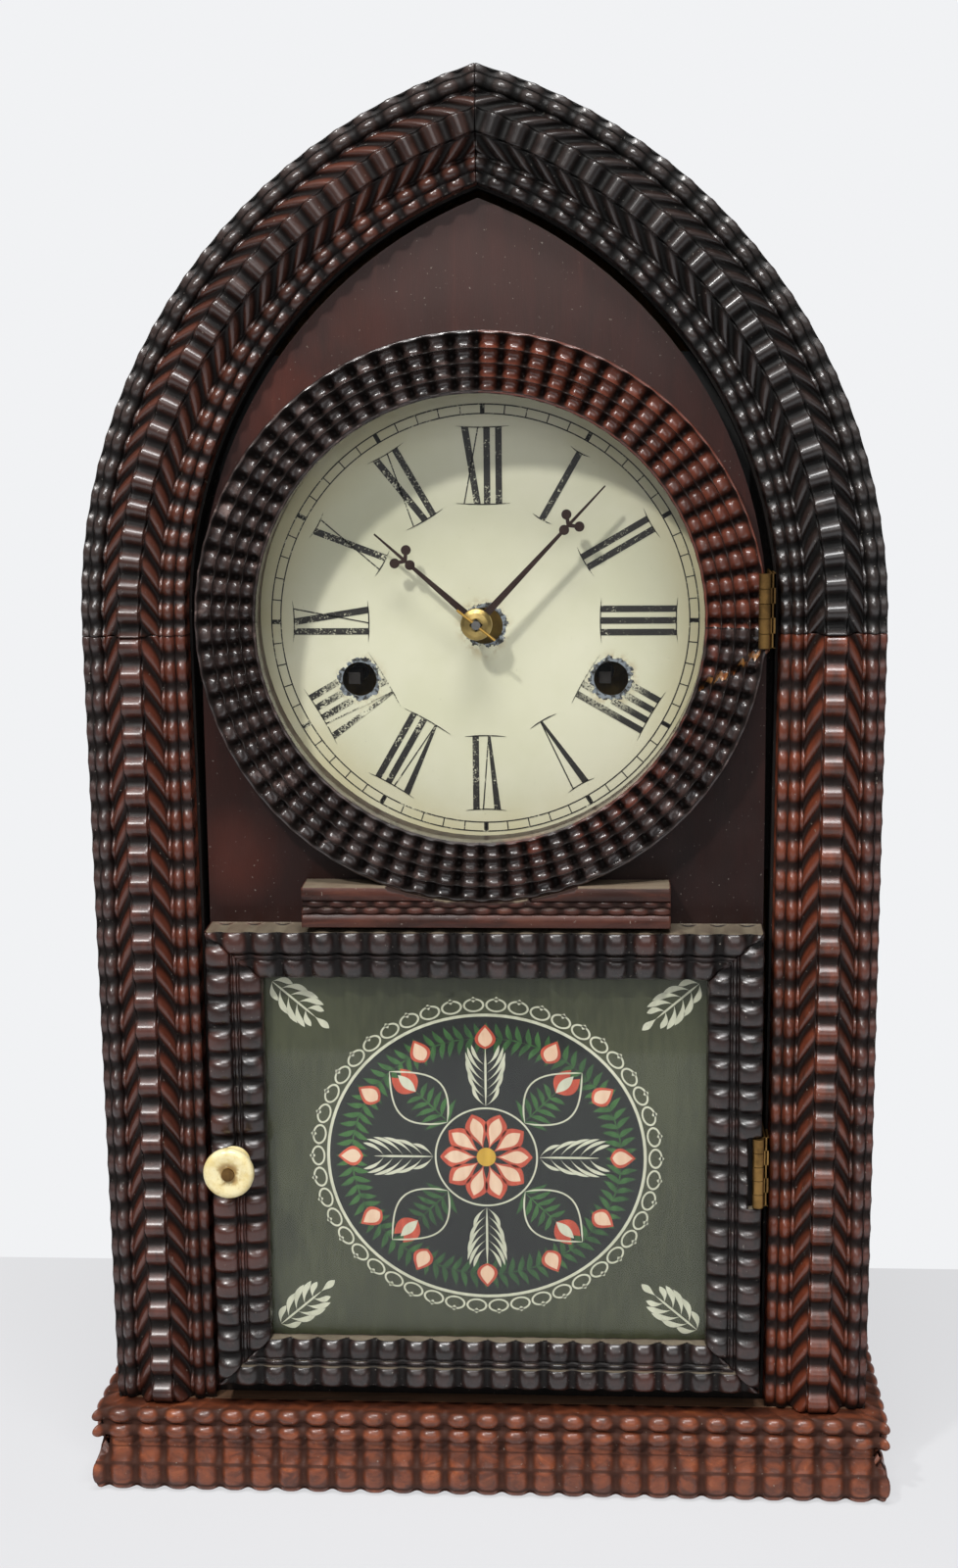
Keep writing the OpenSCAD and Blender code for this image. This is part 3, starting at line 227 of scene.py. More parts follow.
table_half, table_front, table_back, table_z = 1.4, -0.55, 0.166, -0.0006
seen_share = 0.78
table_mesh = bpy.data.meshes.new("table_top")
table_mesh.from_pydata(
    [(-table_half, table_front, table_z), (table_half, table_front, table_z),
     (table_half, table_back, table_z), (-table_half, table_back, table_z)],
    [], [(0, 1, 2, 3)])
table = bpy.data.objects.new("table_top", table_mesh)
scene.collection.objects.link(table)
paper, s = new_material("table_paper")
lit = s.node("ShaderNodeBsdfDiffuse", {}, {"Color": (*srgb("dcdde0"), 1)})
even = s.node("ShaderNodeEmission", {}, {"Color": (*srgb("e5e5e7"), 1), "Strength": 1.0})
share = s.node("ShaderNodeLightPath", {}, {}, "Is Camera Ray") * seen_share
both = s.node("ShaderNodeMixShader", {}, {0: share, 1: lit, 2: even})
s.tree.links.new(both.out, s.tree.nodes.new("ShaderNodeOutputMaterial").inputs["Surface"])
table_mesh.materials.append(paper)


# Base
# A frame of pine rails carries a top board. Its front and sides are faced with
# mahogany mouldings: two rows of rippled beads over a rippled ogee, mitred in front.
face_y = -29.0
base_half_w, base_front, base_back, base_out = 126.0, 6.5, 88.0, 11.2
reed_pitch, front_reeds, side_reeds, reed_steps, mitre_gap = 9.8, 28, 11, 14, 0.02


def wood(name, dark, mid, light, grain=(60, 60, 8), rough=0.36, polish=0.35, dust=0.0,
         valley_dirt_and_shade=None, stain=None):
    """Stained and varnished wood, its grain along the smallest of the three scales. The cut
    valleys are darkened to the colour valley_dirt_and_shade, dirt with painted shade,
    and dust lies on what faces up."""
    made, s = new_material(name)
    at = s.place()
    flame = s.noise(s.stretch(at, grain), 3.0, 5.0, 0.6, 0.8)
    pores = s.noise(s.stretch(at, tuple(g * 7 for g in grain)), 6.0, 3.0, 0.65)
    worn = s.noise(at, 38.0, 4.0, 0.6)
    tone = flame.ramp(0.36, 0.6).mix(srgb(dark), srgb(mid))
    tone = flame.ramp(0.58, 0.74).mix(tone, srgb(light))
    tone = (pores.ramp(0.5, 0.72) * 0.4).mix(tone, srgb(dark))
    if stain:
        tone = stain(s, at, tone)
    roughness = worn.ramp(0.35, 0.7, rough - 0.08, rough + 0.12)
    varnish = polish
    if valley_dirt_and_shade:
        crest = s.stored("crest")
        varnish = crest.ramp(0.3, 0.75, 0.0, polish)
        rubbed = crest.ramp(0.8, 1.0) * worn.ramp(0.46, 0.66) * 0.3
        tone = rubbed.mix(tone, srgb(light))
        # Dirt and painted shade: the cut valleys darkened towards the valley colour.
        tone = crest.ramp(0.06, 0.66, 0.95, 0.0).mix(tone, srgb(valley_dirt_and_shade))
        roughness = roughness + crest.ramp(0.0, 0.4, 0.25, 0.0)
    specks = s.noise(at, 950.0, 2.0, 0.5).ramp(0.71, 0.76) * 0.45
    tone = specks.mix(tone, srgb("9c948a"))
    if dust:
        facing = s.node("ShaderNodeNewGeometry", {}, {}, "Normal")
        up = s.node("ShaderNodeSeparateXYZ", {}, {0: facing}, 2).ramp(0.82, 0.98)
        film = up * s.noise(at, 70.0, 5.0, 0.7).ramp(0.2, 0.6, 0.55, 1.0) * dust
        tone = film.mix(tone, srgb("7b705e"))
        roughness = roughness + film * 0.4
    return surface(made, s, {"Base Color": tone, "Roughness": roughness,
                             "Specular IOR Level": 0.22, "Coat Weight": varnish,
                             "Coat Roughness": 0.25},
                   (pores * 0.5 + flame * 0.5, 0.0004, 0.3))


def own(obj, body, material=None, cad=()):
    """Joins a finished piece to its body, its finish and the solids it stands for."""
    if material:
        obj.data.materials.clear()
        obj.data.materials.append(material)
    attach(obj, body)
    if cad:
        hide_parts(*cad)


def finish_cad(material, *names):
    """Gives carried-over solids their material."""
    for name in names:
        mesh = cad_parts[name].data
        mesh.materials.clear()
        mesh.materials.append(material)


def piece(name, verts, faces, smooth=True):
    """A mesh object from points in millimetres."""
    mesh = bpy.data.meshes.new(name)
    mesh.from_pydata((np.asarray(verts, float) * MM).tolist(), [], faces)
    if smooth:
        mesh.shade_smooth()
    mesh.update()
    made = bpy.data.objects.new(name, mesh)
    scene.collection.objects.link(made)
    return made


def turned_out(obj, merge=False):
    """Makes every face point outwards, after points that meet are merged."""
    work = bmesh.new()
    work.from_mesh(obj.data)
    if merge:
        bmesh.ops.remove_doubles(work, verts=work.verts, dist=1e-6)
    bmesh.ops.recalc_face_normals(work, faces=work.faces)
    work.to_mesh(obj.data)
    work.free()
    return obj


def geometry_tree(name, inputs):
    """A geometry tree with named inputs. Returns the tree and a socket for each input."""
    tree = bpy.data.node_groups.new(name, "GeometryNodeTree")
    tree.interface.new_socket("Geometry", in_out="INPUT", socket_type="NodeSocketGeometry")
    for key, kind in inputs.items():
        tree.interface.new_socket(key, in_out="INPUT", socket_type="NodeSocket" + kind)
    tree.interface.new_socket("Geometry", in_out="OUTPUT", socket_type="NodeSocketGeometry")
    start = tree.nodes.new("NodeGroupInput")
    return tree, {k: Sock(tree, start.outputs[k]) for k in ("Geometry", *inputs)}


def end_tree(tree, geometry, material):
    """Ends a tree as the export needs it: real geometry with its material."""
    s = Sock(tree)
    real = s.node("GeometryNodeRealizeInstances", {}, {"Geometry": geometry})
    done = s.node("GeometryNodeSetMaterial", {}, {"Geometry": real, "Material": material})
    tree.links.new(done.out, tree.nodes.new("NodeGroupOutput").inputs[0])


def evaluated(obj):
    """Keeps the result of an object's modifiers as its plain mesh."""
    graph = bpy.context.evaluated_depsgraph_get()
    mesh = bpy.data.meshes.new_from_object(obj.evaluated_get(graph))
    obj.modifiers.clear()
    obj.data = mesh


def grow(obj, tree, values, smooth=True):
    """Runs a tree on an object with these inputs and keeps the result as its mesh."""
    modifier = obj.modifiers.new(tree.name, "NODES")
    modifier.node_group = tree
    for item in tree.interface.items_tree:
        if item.in_out == "INPUT" and item.name in values:
            modifier[item.identifier] = values[item.name]
    evaluated(obj)
    if smooth:
        obj.data.shade_smooth()
    return obj


def ripple_cutter():
    """The ripple cutter: sinks scallops with sharp valleys into a planed moulding."""
    tree, given = geometry_tree("ripple_cutter", {
        "Pitch": "Float", "Depth": "Float", "Material": "Material"})
    s = Sock(tree)

    def stored(name, kind="FLOAT"):
        return s.node("GeometryNodeInputNamedAttribute", {"data_type": kind}, {"Name": name})
    turn = stored("along") / given["Pitch"] + stored("lag")
    edge = turn.math("FRACT", turn) * 2.0 - 1.0
    wave = 0.5 - 0.5 * edge.math("COSINE", edge * pi)
    fall = wave ** stored("sharp")
    sink = (fall * stored("depth") * given["Depth"] + stored("wound")) * -MM
    move = s.node("ShaderNodeVectorMath", {"operation": "SCALE"},
                  {0: stored("push", "FLOAT_VECTOR"), "Scale": sink})
    cut = s.node("GeometryNodeSetPosition", {}, {"Geometry": given["Geometry"],
                                                 "Offset": move})
    # crest is 1 on the crests and falls in the valleys and the grooves beside bulging rows; the
    # wood paints dirt and shade where it is low.
    deep = stored("depth").math("MINIMUM", stored("depth"), 1.0)
    keep = s.node("GeometryNodeStoreNamedAttribute", {"data_type": "FLOAT"}, {
        "Geometry": cut, "Name": "crest", "Value": (1.0 - fall * deep) * stored("clean_and_lit")})
    end_tree(tree, keep, given["Material"])
    return tree


cutter = ripple_cutter()


def section_points(parts):
    """Points of a moulding's section. Each part is (from, height there, to, height there,
    bulge, ripple depth, ripple sharpness, lag at each end, points). Dirt and painted shade
    darken the grooves beside a part that bulges."""
    rows, edge_depth, edge_clean_and_lit = [], 0.55, 0.2
    for w0, h0, w1, h1, bulge, depth, sharpness, lag0, lag1, count in parts:
        length = max(hypot(w1 - w0, h1 - h0), 1e-6)
        out_w, out_h = (h0 - h1) / length, (w1 - w0) / length
        for i in range(count + 1):
            t = (1 - cos(pi * i / count)) / 2 if bulge else i / count
            belly = sin(pi * t) ** 0.6 if 0 < i < count else 0
            rise = bulge * belly
            full = edge_depth + (1 - edge_depth) * belly if bulge else 1
            # Low in the grooves beside a bulging part, where dirt and painted shade darken the
            # wood.
            clean_and_lit = edge_clean_and_lit + (1 - edge_clean_and_lit) * max(sin(pi * t), 0) ** 0.5 if bulge else 1
            rows.append((w0 + (w1 - w0) * t + out_w * rise, h0 + (h1 - h0) * t + out_h * rise,
                         depth * full, sharpness, lag0 + (lag1 - lag0) * t, clean_and_lit))
    return np.array(rows)


def moulding(name, rows, back, place, starts, ends, steps, pitch, material, closed=False,
             wound=None, plunge=True):
    """Sweeps a section from starts(w) to ends(w) along a run and cuts its ripple.
    place(w, h, s) puts a point of the section on the run; back closes the section. The
    cutter plunges straight into the face, or square to every facet if plunge is off."""
    probe = 0.01
    rows = np.vstack([rows, [(w, h, 0, 2, 0, 1) for w, h in back]])
    w, h = rows[:, 0], rows[:, 1]
    count = len(rows)
    after, before = np.roll(np.arange(count), -1), np.roll(np.arange(count), 1)
    tangent = np.stack([w[after] - w[before], h[after] - h[before]], 1)
    tangent /= np.maximum(np.linalg.norm(tangent, axis=1, keepdims=True), 1e-9)
    out_w, out_h = -tangent[:, 1], tangent[:, 0]
    if plunge:
        face = (rows[:, 2] > 1.25) | (out_h > 0.3)
        out_w, out_h = np.where(face, out_w * 0.08, out_w), np.where(face, 1.0, out_h)
    rings = steps if closed else steps + 1
    t = (np.arange(rings) / steps)[:, None]
    s = starts(w)[None, :] * (1 - t) + ends(w)[None, :] * t
    w2, h2 = np.broadcast_to(w, s.shape), np.broadcast_to(h, s.shape)
    points = np.stack(place(w2, h2, s), -1)
    tips = np.stack(place(w2 + out_w * probe, h2 + out_h * probe, s), -1)
    faces = []
    for i in range(steps):
        j = (i + 1) % rings
        for k in range(count):
            n = (k + 1) % count
            faces.append((i * count + k, i * count + n, j * count + n, j * count + k))
    if not closed:
        faces.append(tuple(range(count))[::-1])
        faces.append(tuple(range(steps * count, (steps + 1) * count)))
    made = piece(name, points.reshape(-1, 3), faces)
    data = {"along": s, "across": w2, "depth": rows[:, 2], "sharp": rows[:, 3],
            "lag": rows[:, 4], "clean_and_lit": rows[:, 5], "wound": wound(w2, s) if wound else 0 * s}
    for key, value in data.items():
        layer = made.data.attributes.new(key, "FLOAT", "POINT")
        value = np.ascontiguousarray(np.broadcast_to(value, s.shape), np.float32)
        layer.data.foreach_set("value", value.ravel())
    layer = made.data.attributes.new("push", "FLOAT_VECTOR", "POINT")
    push = np.ascontiguousarray((tips - points) / probe, np.float32)
    layer.data.foreach_set("vector", push.ravel())
    grow(made, cutter, {"Pitch": float(pitch), "Depth": 1.0, "Material": material})
    return turned_out(made)


base_wood = wood("base_mahogany", "522d20", "7a4028", "985432", (30, 60, 60), 0.42, 0.45,
                 valley_dirt_and_shade="3a2016")
top_wood = wood("base_top_dusty", "4f301f", "66422c", "7a5238", (12, 90, 90), 0.6, 0.05, 0.25)
bare_pine = wood("bare_pine", "a07a4c", "b98f5d", "cda774", (60, 60, 6), 0.7, 0.0, 0.2)

bead_top, bead_joint, bead_foot = 29.9, 24.4, 18.7
base_rows = section_points([
    (8.3, bead_top, 8.3, bead_joint + 0.15, 2.5, 2.0, 2.0, 0.5, 0.5, 12),
    (8.3, bead_joint - 0.15, 8.2, bead_foot, 2.6, 2.0, 2.0, 0.5, 0.5, 12),
    (7.8, bead_foot - 0.3, 8.3, 16.6, 0.0, 1.9, 2.2, 0.5, 0.5, 2),
    (8.5, 15.8, 10.2, 10.6, -0.25, 2.3, 2.2, 0.5, 0.5, 6),
    (10.4, 9.9, 10.3, 2.6, 0.85, 2.6, 2.2, 0.5, 0.5, 8),
    (10.0, 1.9, 8.6, 0.05, 0.35, 2.2, 2.2, 0.5, 0.5, 4)])
base_edge = [(0.0, 0.05), (0.0, bead_top)]
front_run = moulding(
    "base_front_moulding", base_rows, base_edge,
    lambda w, h, s: (s, face_y - base_front - w, h),
    lambda w: -(base_half_w + w) + mitre_gap, lambda w: base_half_w + w - mitre_gap,
    front_reeds * reed_steps, reed_pitch, base_wood, plunge=False)
own(front_run, "case", cad=["base_moulding_front"])
for side_name, sign in (("left", -1), ("right", 1)):
    run = moulding(
        "base_side_moulding_" + side_name, base_rows, base_edge,
        lambda w, h, s: (sign * (base_half_w + w), s + face_y - base_front - base_out, h),
        lambda w: base_out - w + mitre_gap,
        lambda w: 0 * w + base_back + base_front + base_out,
        side_reeds * reed_steps, reed_pitch, base_wood, plunge=False)
    own(run, "case", cad=["base_moulding_sides"])
finish_cad(top_wood, "base_top_board")
finish_cad(bare_pine, "base_frame")


# Case
# Two veneered sides lean together a little towards the base, and a bent shell makes
# the pointed arch. A face frame behind the mouldings takes the door; it and the dial
# cleats are near black, dark stain with painted shade for the gap round the door. A pine
# board nailed on closes the back.
half_w, arch_r, spring_z, seam_z, lean = 131.8, 182.64, 301.0, 297.0, radians(0.43)
arc_off = arch_r - half_w
shell_out, board_t, case_depth, shell_gap = arch_r - 4.84, 8.0, 85.0, 0.05
case_veneer = wood("case_veneer", "24130e", "3e231a", "543226", (50, 50, 5), 0.4, 0.2)
shell_veneer = wood("shell_veneer", "24130e", "3e231a", "543226", (6, 50, 6), 0.4, 0.2)
# Near black: dark stain, and painted shade for the gap round the door.
pine_stain_and_shade = wood("pine_stain_and_painted_shade", "0d0a08", "17110e", "231a15", (60, 60, 6), 0.6, 0.0)
finish_cad(case_veneer, "case_side_left", "case_side_right")
finish_cad(pine_stain_and_shade, "face_frame", "dial_cleats")
finish_cad(bare_pine, "back_board", "glass_stops")


def sharp(obj, angle=40):
    """Smooth shading that keeps edges sharper than the angle."""
    obj.data.shade_smooth()
    obj.data.set_sharp_from_angle(angle=radians(angle))
    return obj


def arch_shell():
    """The bent shell as a smooth sheet of thick veneer, from seam to seam."""
    verts, faces, rings = [], [], []
    inner, steps = shell_out - board_t, 40
    top = {r: acos(arc_off / r) for r in (shell_out, inner)}
    low = {r: asin((seam_z + shell_gap - spring_z) / r) for r in (shell_out, inner)}
    for i in range(2 * steps + 1):
        hand = 1 if i < steps else -1
        t = min(i, 2 * steps - i) / steps
        ring = []
        for r, y in ((shell_out, face_y + shell_gap), (shell_out, face_y + case_depth),
                     (inner, face_y + case_depth), (inner, face_y + shell_gap)):
            a = low[r] + (top[r] - low[r]) * t
            ring.append(len(verts))
            verts.append((hand * (r * cos(a) - arc_off), y, spring_z + r * sin(a)))
        rings.append(ring)
    for a, b in zip(rings, rings[1:]):
        for k in range(4):
            n = (k + 1) % 4
            faces.append((a[k], b[k], b[n], a[n]))
    faces.append(tuple(rings[0]))
    faces.append(tuple(rings[-1][::-1]))
    return turned_out(sharp(piece("arch_shell", verts, faces)))


own(arch_shell(), "case", shell_veneer, ["case_arch"])


# Leg and arch mouldings
# One rippled moulding runs up each leg and round each side of the arch: a flat strip,
# a bead, a slope up to a raised rib, and the same again on the inside. The cutter's
# valleys climb the slopes towards the rib, so that they make chevrons.
leg_pitch, arch_pitch = 10.0, 3.0
leg_ripples, arch_ripples, ripple_steps = 27, 25, 18
leg_foot, seam_gap, apex_gap = 30.05, 0.1, 0.15
chevron = -0.9
leg_rows = section_points([
    (0.0, 0.3, 0.2, 6.4, 0.0, 1.0, 1.2, 0, 0, 3),
    (0.4, 6.9, 2.7, 7.1, 0.3, 1.4, 1.2, 0, 0, 5),
    (2.9, 6.9, 7.0, 7.2, 2.2, 2.2, 1.3, 0, 0, 11),
    (7.2, 7.2, 8.0, 7.2, 0.0, 2.2, 1.1, 0, 0, 2),
    (8.2, 7.4, 13.2, 11.6, 0.5, 2.8, 1.0, 0, chevron, 11),
    (13.3, 12.0, 13.7, 13.2, 0.0, 2.9, 1.1, chevron, chevron, 2),
    (13.8, 13.45, 13.95, 13.5, 0.0, 2.9, 1.2, chevron, chevron, 1),
    (14.1, 13.55, 20.0, 13.55, 0.0, 2.9, 1.2, chevron, chevron, 10),
    (20.15, 13.5, 20.3, 13.45, 0.0, 2.9, 1.2, chevron, chevron, 1),
    (20.4, 13.2, 20.8, 12.0, 0.0, 2.9, 1.1, chevron, chevron, 2),
    (20.9, 11.6, 26.0, 7.4, 0.5, 2.8, 1.0, chevron, 0, 11),
    (26.2, 7.2, 27.0, 7.2, 0.0, 2.2, 1.1, 0, 0, 2),
    (27.2, 7.2, 31.1, 7.0, 2.2, 2.2, 1.3, 0, 0, 11),
    (31.3, 6.8, 34.7, 6.6, 1.0, 1.8, 1.3, 0, 0, 8),
    (34.9, 6.0, 35.0, 0.3, 0.0, 1.0, 1.2, 0, 0, 3)])
leg_edge = [(35.0, 0.0), (0.0, 0.0)]


def run_stain_and_reflection(edge, slope, share, red_scale):
    """The outer strip greyed, partly by handling and partly as a painted reflection of the
    pale room, and the slopes nearer to the bare wood.
    """
    def stain(s, at, tone):
        across = s.stored("across")
        patch = s.noise(at, red_scale, 3.0, 0.6).ramp(0.4, 0.62, share * 0.25, share)
        slopes = across.ramp(6.8, 8.2) * across.ramp(12.8, 14.0, 1.0, 0.4)
        inside = across.ramp(20.0, 21.5)
        tone = (slopes.larger(inside) * patch).mix(tone, srgb(slope))
        mottle = s.noise(at, 160.0, 3.0, 0.6).ramp(0.3, 0.7, 0.35, 0.85)
        # Outer strip greyed: handling wear, and a painted reflection of the pale room.
        return (across.ramp(5.8, 7.2, 1.0, 0.0) * mottle).mix(tone, srgb(edge))
    return stain


leg_wood = {
    "left": wood("leg_mahogany_left", "281815", "452821", "603932", (60, 60, 20), 0.38, 0.7,
                 valley_dirt_and_shade="0f0a08", stain=run_stain_and_reflection("3a2a27", "602d1c", 0.6, 14.0)),
    "right": wood("leg_mahogany_right", "341e16", "5c2d1e", "78402b", (60, 60, 20), 0.38, 0.7,
                  valley_dirt_and_shade="120b08", stain=run_stain_and_reflection("50302a", "6e3420", 0.7, 10.0))}
arch_wood = {
    "left": wood("arch_mahogany_left", "16100e", "2a1d19", "40302b", (40, 40, 40), 0.36, 0.8,
                 valley_dirt_and_shade="0b0807", stain=run_stain_and_reflection("3a2e2a", "5a3023", 0.75, 9.0)),
    "right": wood("arch_mahogany_right", "161211", "26201e", "3d3431", (40, 40, 40), 0.36, 0.8,
                  valley_dirt_and_shade="090807", stain=run_stain_and_reflection("332b28", "38241e", 0.4, 9.0))}


def leg_place(sign):
    def place(w, h, s):
        z = s - seam_z
        return (sign * (half_w - w * cos(lean) + z * sin(lean)), face_y - h,
                seam_z + z * cos(lean) + w * sin(lean))
    return place


def arch_place(sign):
    def place(w, h, s):
        r, a = arch_r - w, np.radians(s)
        return sign * (r * np.cos(a) - arc_off), face_y - h, spring_z + r * np.sin(a)
    return place


for side_name, sign in (("left", -1), ("right", 1)):
    leg = moulding("leg_" + side_name, leg_rows, leg_edge, leg_place(sign),
                   lambda w: 0 * w + leg_foot - w * sin(lean), lambda w: 0 * w + seam_z - seam_gap,
                   leg_ripples * ripple_steps, leg_pitch, leg_wood[side_name])
    own(leg, "case", cad=["leg_moulding_" + side_name])
    arch = moulding("arch_" + side_name, leg_rows, leg_edge, arch_place(sign),
                    lambda w: np.degrees(np.arcsin((seam_z + seam_gap - spring_z) / (arch_r - w))),
                    lambda w: np.degrees(np.arccos((arc_off + apex_gap) / (arch_r - w))),
                    arch_ripples * ripple_steps, arch_pitch, arch_wood[side_name])
    own(arch, "case", cad=["arch_moulding_" + side_name])


# Door panel and ring
# The door is a veneered board cut to the arch. A turned ring with four rows of rippled
# beads, glued up from four segments of different wood, frames the dial glass. A split by
# the upper hinge shows bare wood.
panel_front = face_y + 0.4
ring_x, ring_z, ring_r, ring_open = -0.4, 301.3, 93.0, 73.2
ring_ripples, ring_steps = 68, 12
split_turn, split_in, split_slant = 107.0, 74.0, 0.62
hinge_x, hinge_y = 91.5, face_y - 14.0
barrels = ((105.0, 129.0), (293.0, 317.0))
room_side, room_back, room_end = 3.3, 2.3, 0.4


def panel_stain_and_shade(s, at, tone):
    """Lighter at the top with a pale haze, partly dust and partly painted sheen; darker below
    as painted shade from the ring; red where the veneer is worn in two places.
    """
    height = s.node("ShaderNodeSeparateXYZ", {}, {0: at}, 2)
    # Painted sheen with a dust haze: lighter towards the top.
    tone = height.ramp(0.34, 0.43, 0.0, 0.11).mix(tone, srgb("8a7873"))
    # Painted shade: darker towards the bottom, where the ring shades the panel.
    tone = height.ramp(0.2, 0.32, 0.7, 0.0).mix(tone, srgb("140b09"))
    streak = s.noise(s.stretch(at, (24, 24, 12)), 1.0, 5.0, 0.6).ramp(0.25, 0.75)
    top = s.reach(at, -62.0, 388.0).ramp(6.0, 42.0, 1.0, 0.1)
    low = s.reach(at, -84.0, 222.0).ramp(4.0, 26.0, 0.4, 0.0)
    return (streak * top.larger(low)).mix(tone, srgb("5c2a1e"))


panel_wood = wood("door_veneer", "22120f", "2a1411", "391c16", (45, 45, 5), 0.42, 0.16,
                  stain=panel_stain_and_shade)
finish_cad(panel_wood, "door_panel")

ring_rows = section_points([
    (ring_r, 0.3, ring_r, 9.7, 0.0, 0.15, 1.3, 0, 0, 4),
    (92.9, 10.1, 92.2, 10.4, 0.1, 0.5, 1.3, 0, 0, 3),
    (92.0, 10.6, 87.5, 12.3, 2.4, 2.9, 2.3, 0, 0, 12),
    (87.3, 12.1, 82.8, 11.3, 2.3, 2.9, 2.3, 0, 0, 12),
    (82.6, 11.1, 78.4, 10.8, 2.2, 2.8, 2.3, 0, 0, 12),
    (78.2, 10.6, 74.2, 9.6, 2.0, 2.6, 2.3, 0, 0, 12),
    (74.1, 9.3, ring_open + 0.1, 9.1, 0.1, 0.4, 1.3, 0, 0, 2),
    (ring_open, 8.8, ring_open, 3.1, 0.0, 0.1, 1.2, 0, 0, 3)])


def split(w, s):
    """Depth of the split that crosses the ring just below the upper hinge."""
    line = split_turn - (w - split_in) * split_slant
    wander = np.sin(w * 2.1) * 0.7 + np.sin(w * 5.3) * 0.35
    off = np.abs(s - line - wander) * w * pi / 180
    return np.clip(1.5 - off * 0.75, 0, 1.3) * (w > split_in + 0.5)


def ring_stain(s, at, tone):
    """One red quarter, one brown quarter and two nearly black ones."""
    turn, across = s.stored("along"), s.stored("across")
    patch = s.noise(at, 90.0, 3.0, 0.6)
    red = turn.ramp(0.0, 0.6) * turn.ramp(91.2, 92.0, 1.0, 0.0)
    tone = (red * patch.ramp(0.3, 0.6, 0.5, 0.95)).mix(tone, srgb("603022"))
    brown = turn.ramp(91.5, 92.0) * turn.ramp(180.0, 180.8, 1.0, 0.0)
    inner = across.ramp(76.0, 83.0, 1.0, 0.15)
    tone = (brown * inner * patch.ramp(0.42, 0.62) * 0.8).mix(tone, srgb("5c2c20"))
    for joint in (0.2, 91.7, 180.4, 270.2):
        gap = turn - joint
        tone = (gap.math("ABSOLUTE", gap) < 0.16).mix(tone, srgb("070505"))
    wound = s.stored("wound")
    fresh = s.noise(s.stretch(at, (400, 400, 60)), 1.0, 3.0).ramp(0.4, 0.6)
    bare = fresh.mix(srgb("6e3d1e"), srgb("9c6c3a"))
    tone = wound.ramp(0.5, 0.8).mix(tone, bare)
    return (wound.ramp(0.05, 0.4) * wound.ramp(0.45, 0.7, 1.0, 0.0)).mix(tone, srgb("0d0806"))


ring_wood = wood("ring_rosewood", "1f1715", "382b28", "76645f", (40, 40, 40), 0.34, 1.0,
                 valley_dirt_and_shade="130e0c", stain=ring_stain)
ring = moulding("bezel_ring", ring_rows, [(77.2, 3.0), (77.2, 0.1), (ring_r, 0.1)],
                lambda w, h, s: (ring_x + w * np.sin(np.radians(s)), panel_front - h,
                                 ring_z + w * np.cos(np.radians(s))),
                lambda w: 0 * w, lambda w: 0 * w + 360, ring_ripples * ring_steps,
                360 / ring_ripples, ring_wood, closed=True, wound=split)


def cut_with(obj, block):
    """Cuts another object out of a piece."""
    cut = obj.modifiers.new("cut", "BOOLEAN")
    cut.operation, cut.object, cut.solver = "DIFFERENCE", block, "EXACT"
    evaluated(obj)
    bpy.data.objects.remove(block)
    return obj


def block_between(low, high):
    """A box from two corners in millimetres."""
    verts = [(x, y, z) for x in (low[0], high[0]) for y in (low[1], high[1])
             for z in (low[2], high[2])]
    faces = [(0, 1, 3, 2), (4, 6, 7, 5), (0, 4, 5, 1), (2, 3, 7, 6), (0, 2, 6, 4), (1, 5, 7, 3)]
    return turned_out(piece("block", verts, faces, smooth=False))


def barrel_room(low, high):
    """The notch that a hinge barrel turns in."""
    return block_between((hinge_x - room_side, face_y - 40, low - room_end),
                         (hinge_x + 20, hinge_y + room_back, high + room_end))


own(cut_with(ring, barrel_room(*barrels[1])), "door", cad=["dial_bezel"])


# Ledge
# A short mahogany shelf between ring and tablet, glued on and coped round the ring,
# with two fine rows of beads run along its front.
ledge_left, ledge_right, ledge_high, ledge_h, ledge_out = -60.0, 62.0, 214.0, 13.5, 13.9
ledge_pitch, ledge_steps, cope_gap = 7.4, 170, 0.1
ledge_wood = wood("ledge_mahogany", "2e1913", "4a281f", "5a3526", (12, 60, 60), 0.44, 0.1,
                  dust=0.8, valley_dirt_and_shade="24120c")
ledge_rows = section_points([
    (0.0, 0.3, 0.1, ledge_out - 0.2, 0.0, 0.0, 2.0, 0, 0, 3),
    (0.3, ledge_out, 4.3, ledge_out, 0.0, 0.0, 2.0, 0, 0, 2),
    (4.5, ledge_out - 0.9, 6.8, ledge_out - 0.9, 0.9, 1.0, 1.2, 0, 0, 8),
    (7.0, ledge_out - 0.9, 9.3, ledge_out - 0.9, 0.9, 1.0, 1.2, 0.5, 0.5, 8),
    (9.5, ledge_out, 13.3, ledge_out, 0.0, 0.0, 2.0, 0, 0, 2),
    (ledge_h, ledge_out - 0.2, ledge_h, 0.3, 0.0, 0.0, 2.0, 0, 0, 2)])
ledge = moulding("door_shelf", ledge_rows, [(ledge_h, 0.1), (0.0, 0.1)],
                 lambda w, h, s: (s, panel_front - h, ledge_high - w),
                 lambda w: 0 * w + ledge_left, lambda w: 0 * w + ledge_right,
                 ledge_steps, ledge_pitch, ledge_wood)


def turned(name, profile, x, z, count=96):
    """A lathe-turned piece on a front-to-back axis, from (radius, depth) points."""
    n = len(profile)
    verts, faces = [], []
    for i in range(count):
        a = 2 * pi * i / count
        verts += [(x + r * sin(a), face_y + d, z + r * cos(a)) for r, d in profile]
        j = (i + 1) % count
        faces += [(i * n + k, i * n + (k + 1) % n, j * n + (k + 1) % n, j * n + k)
                  for k in range(n)]
    return turned_out(piece(name, verts, faces), merge=True)


cope = turned("cope", [(0, 5), (0, -30), (ring_r + cope_gap, -30), (ring_r + cope_gap, 5)],
              ring_x, ring_z, 240)
own(cut_with(ledge, cope), "door", cad=["door_ledge"])


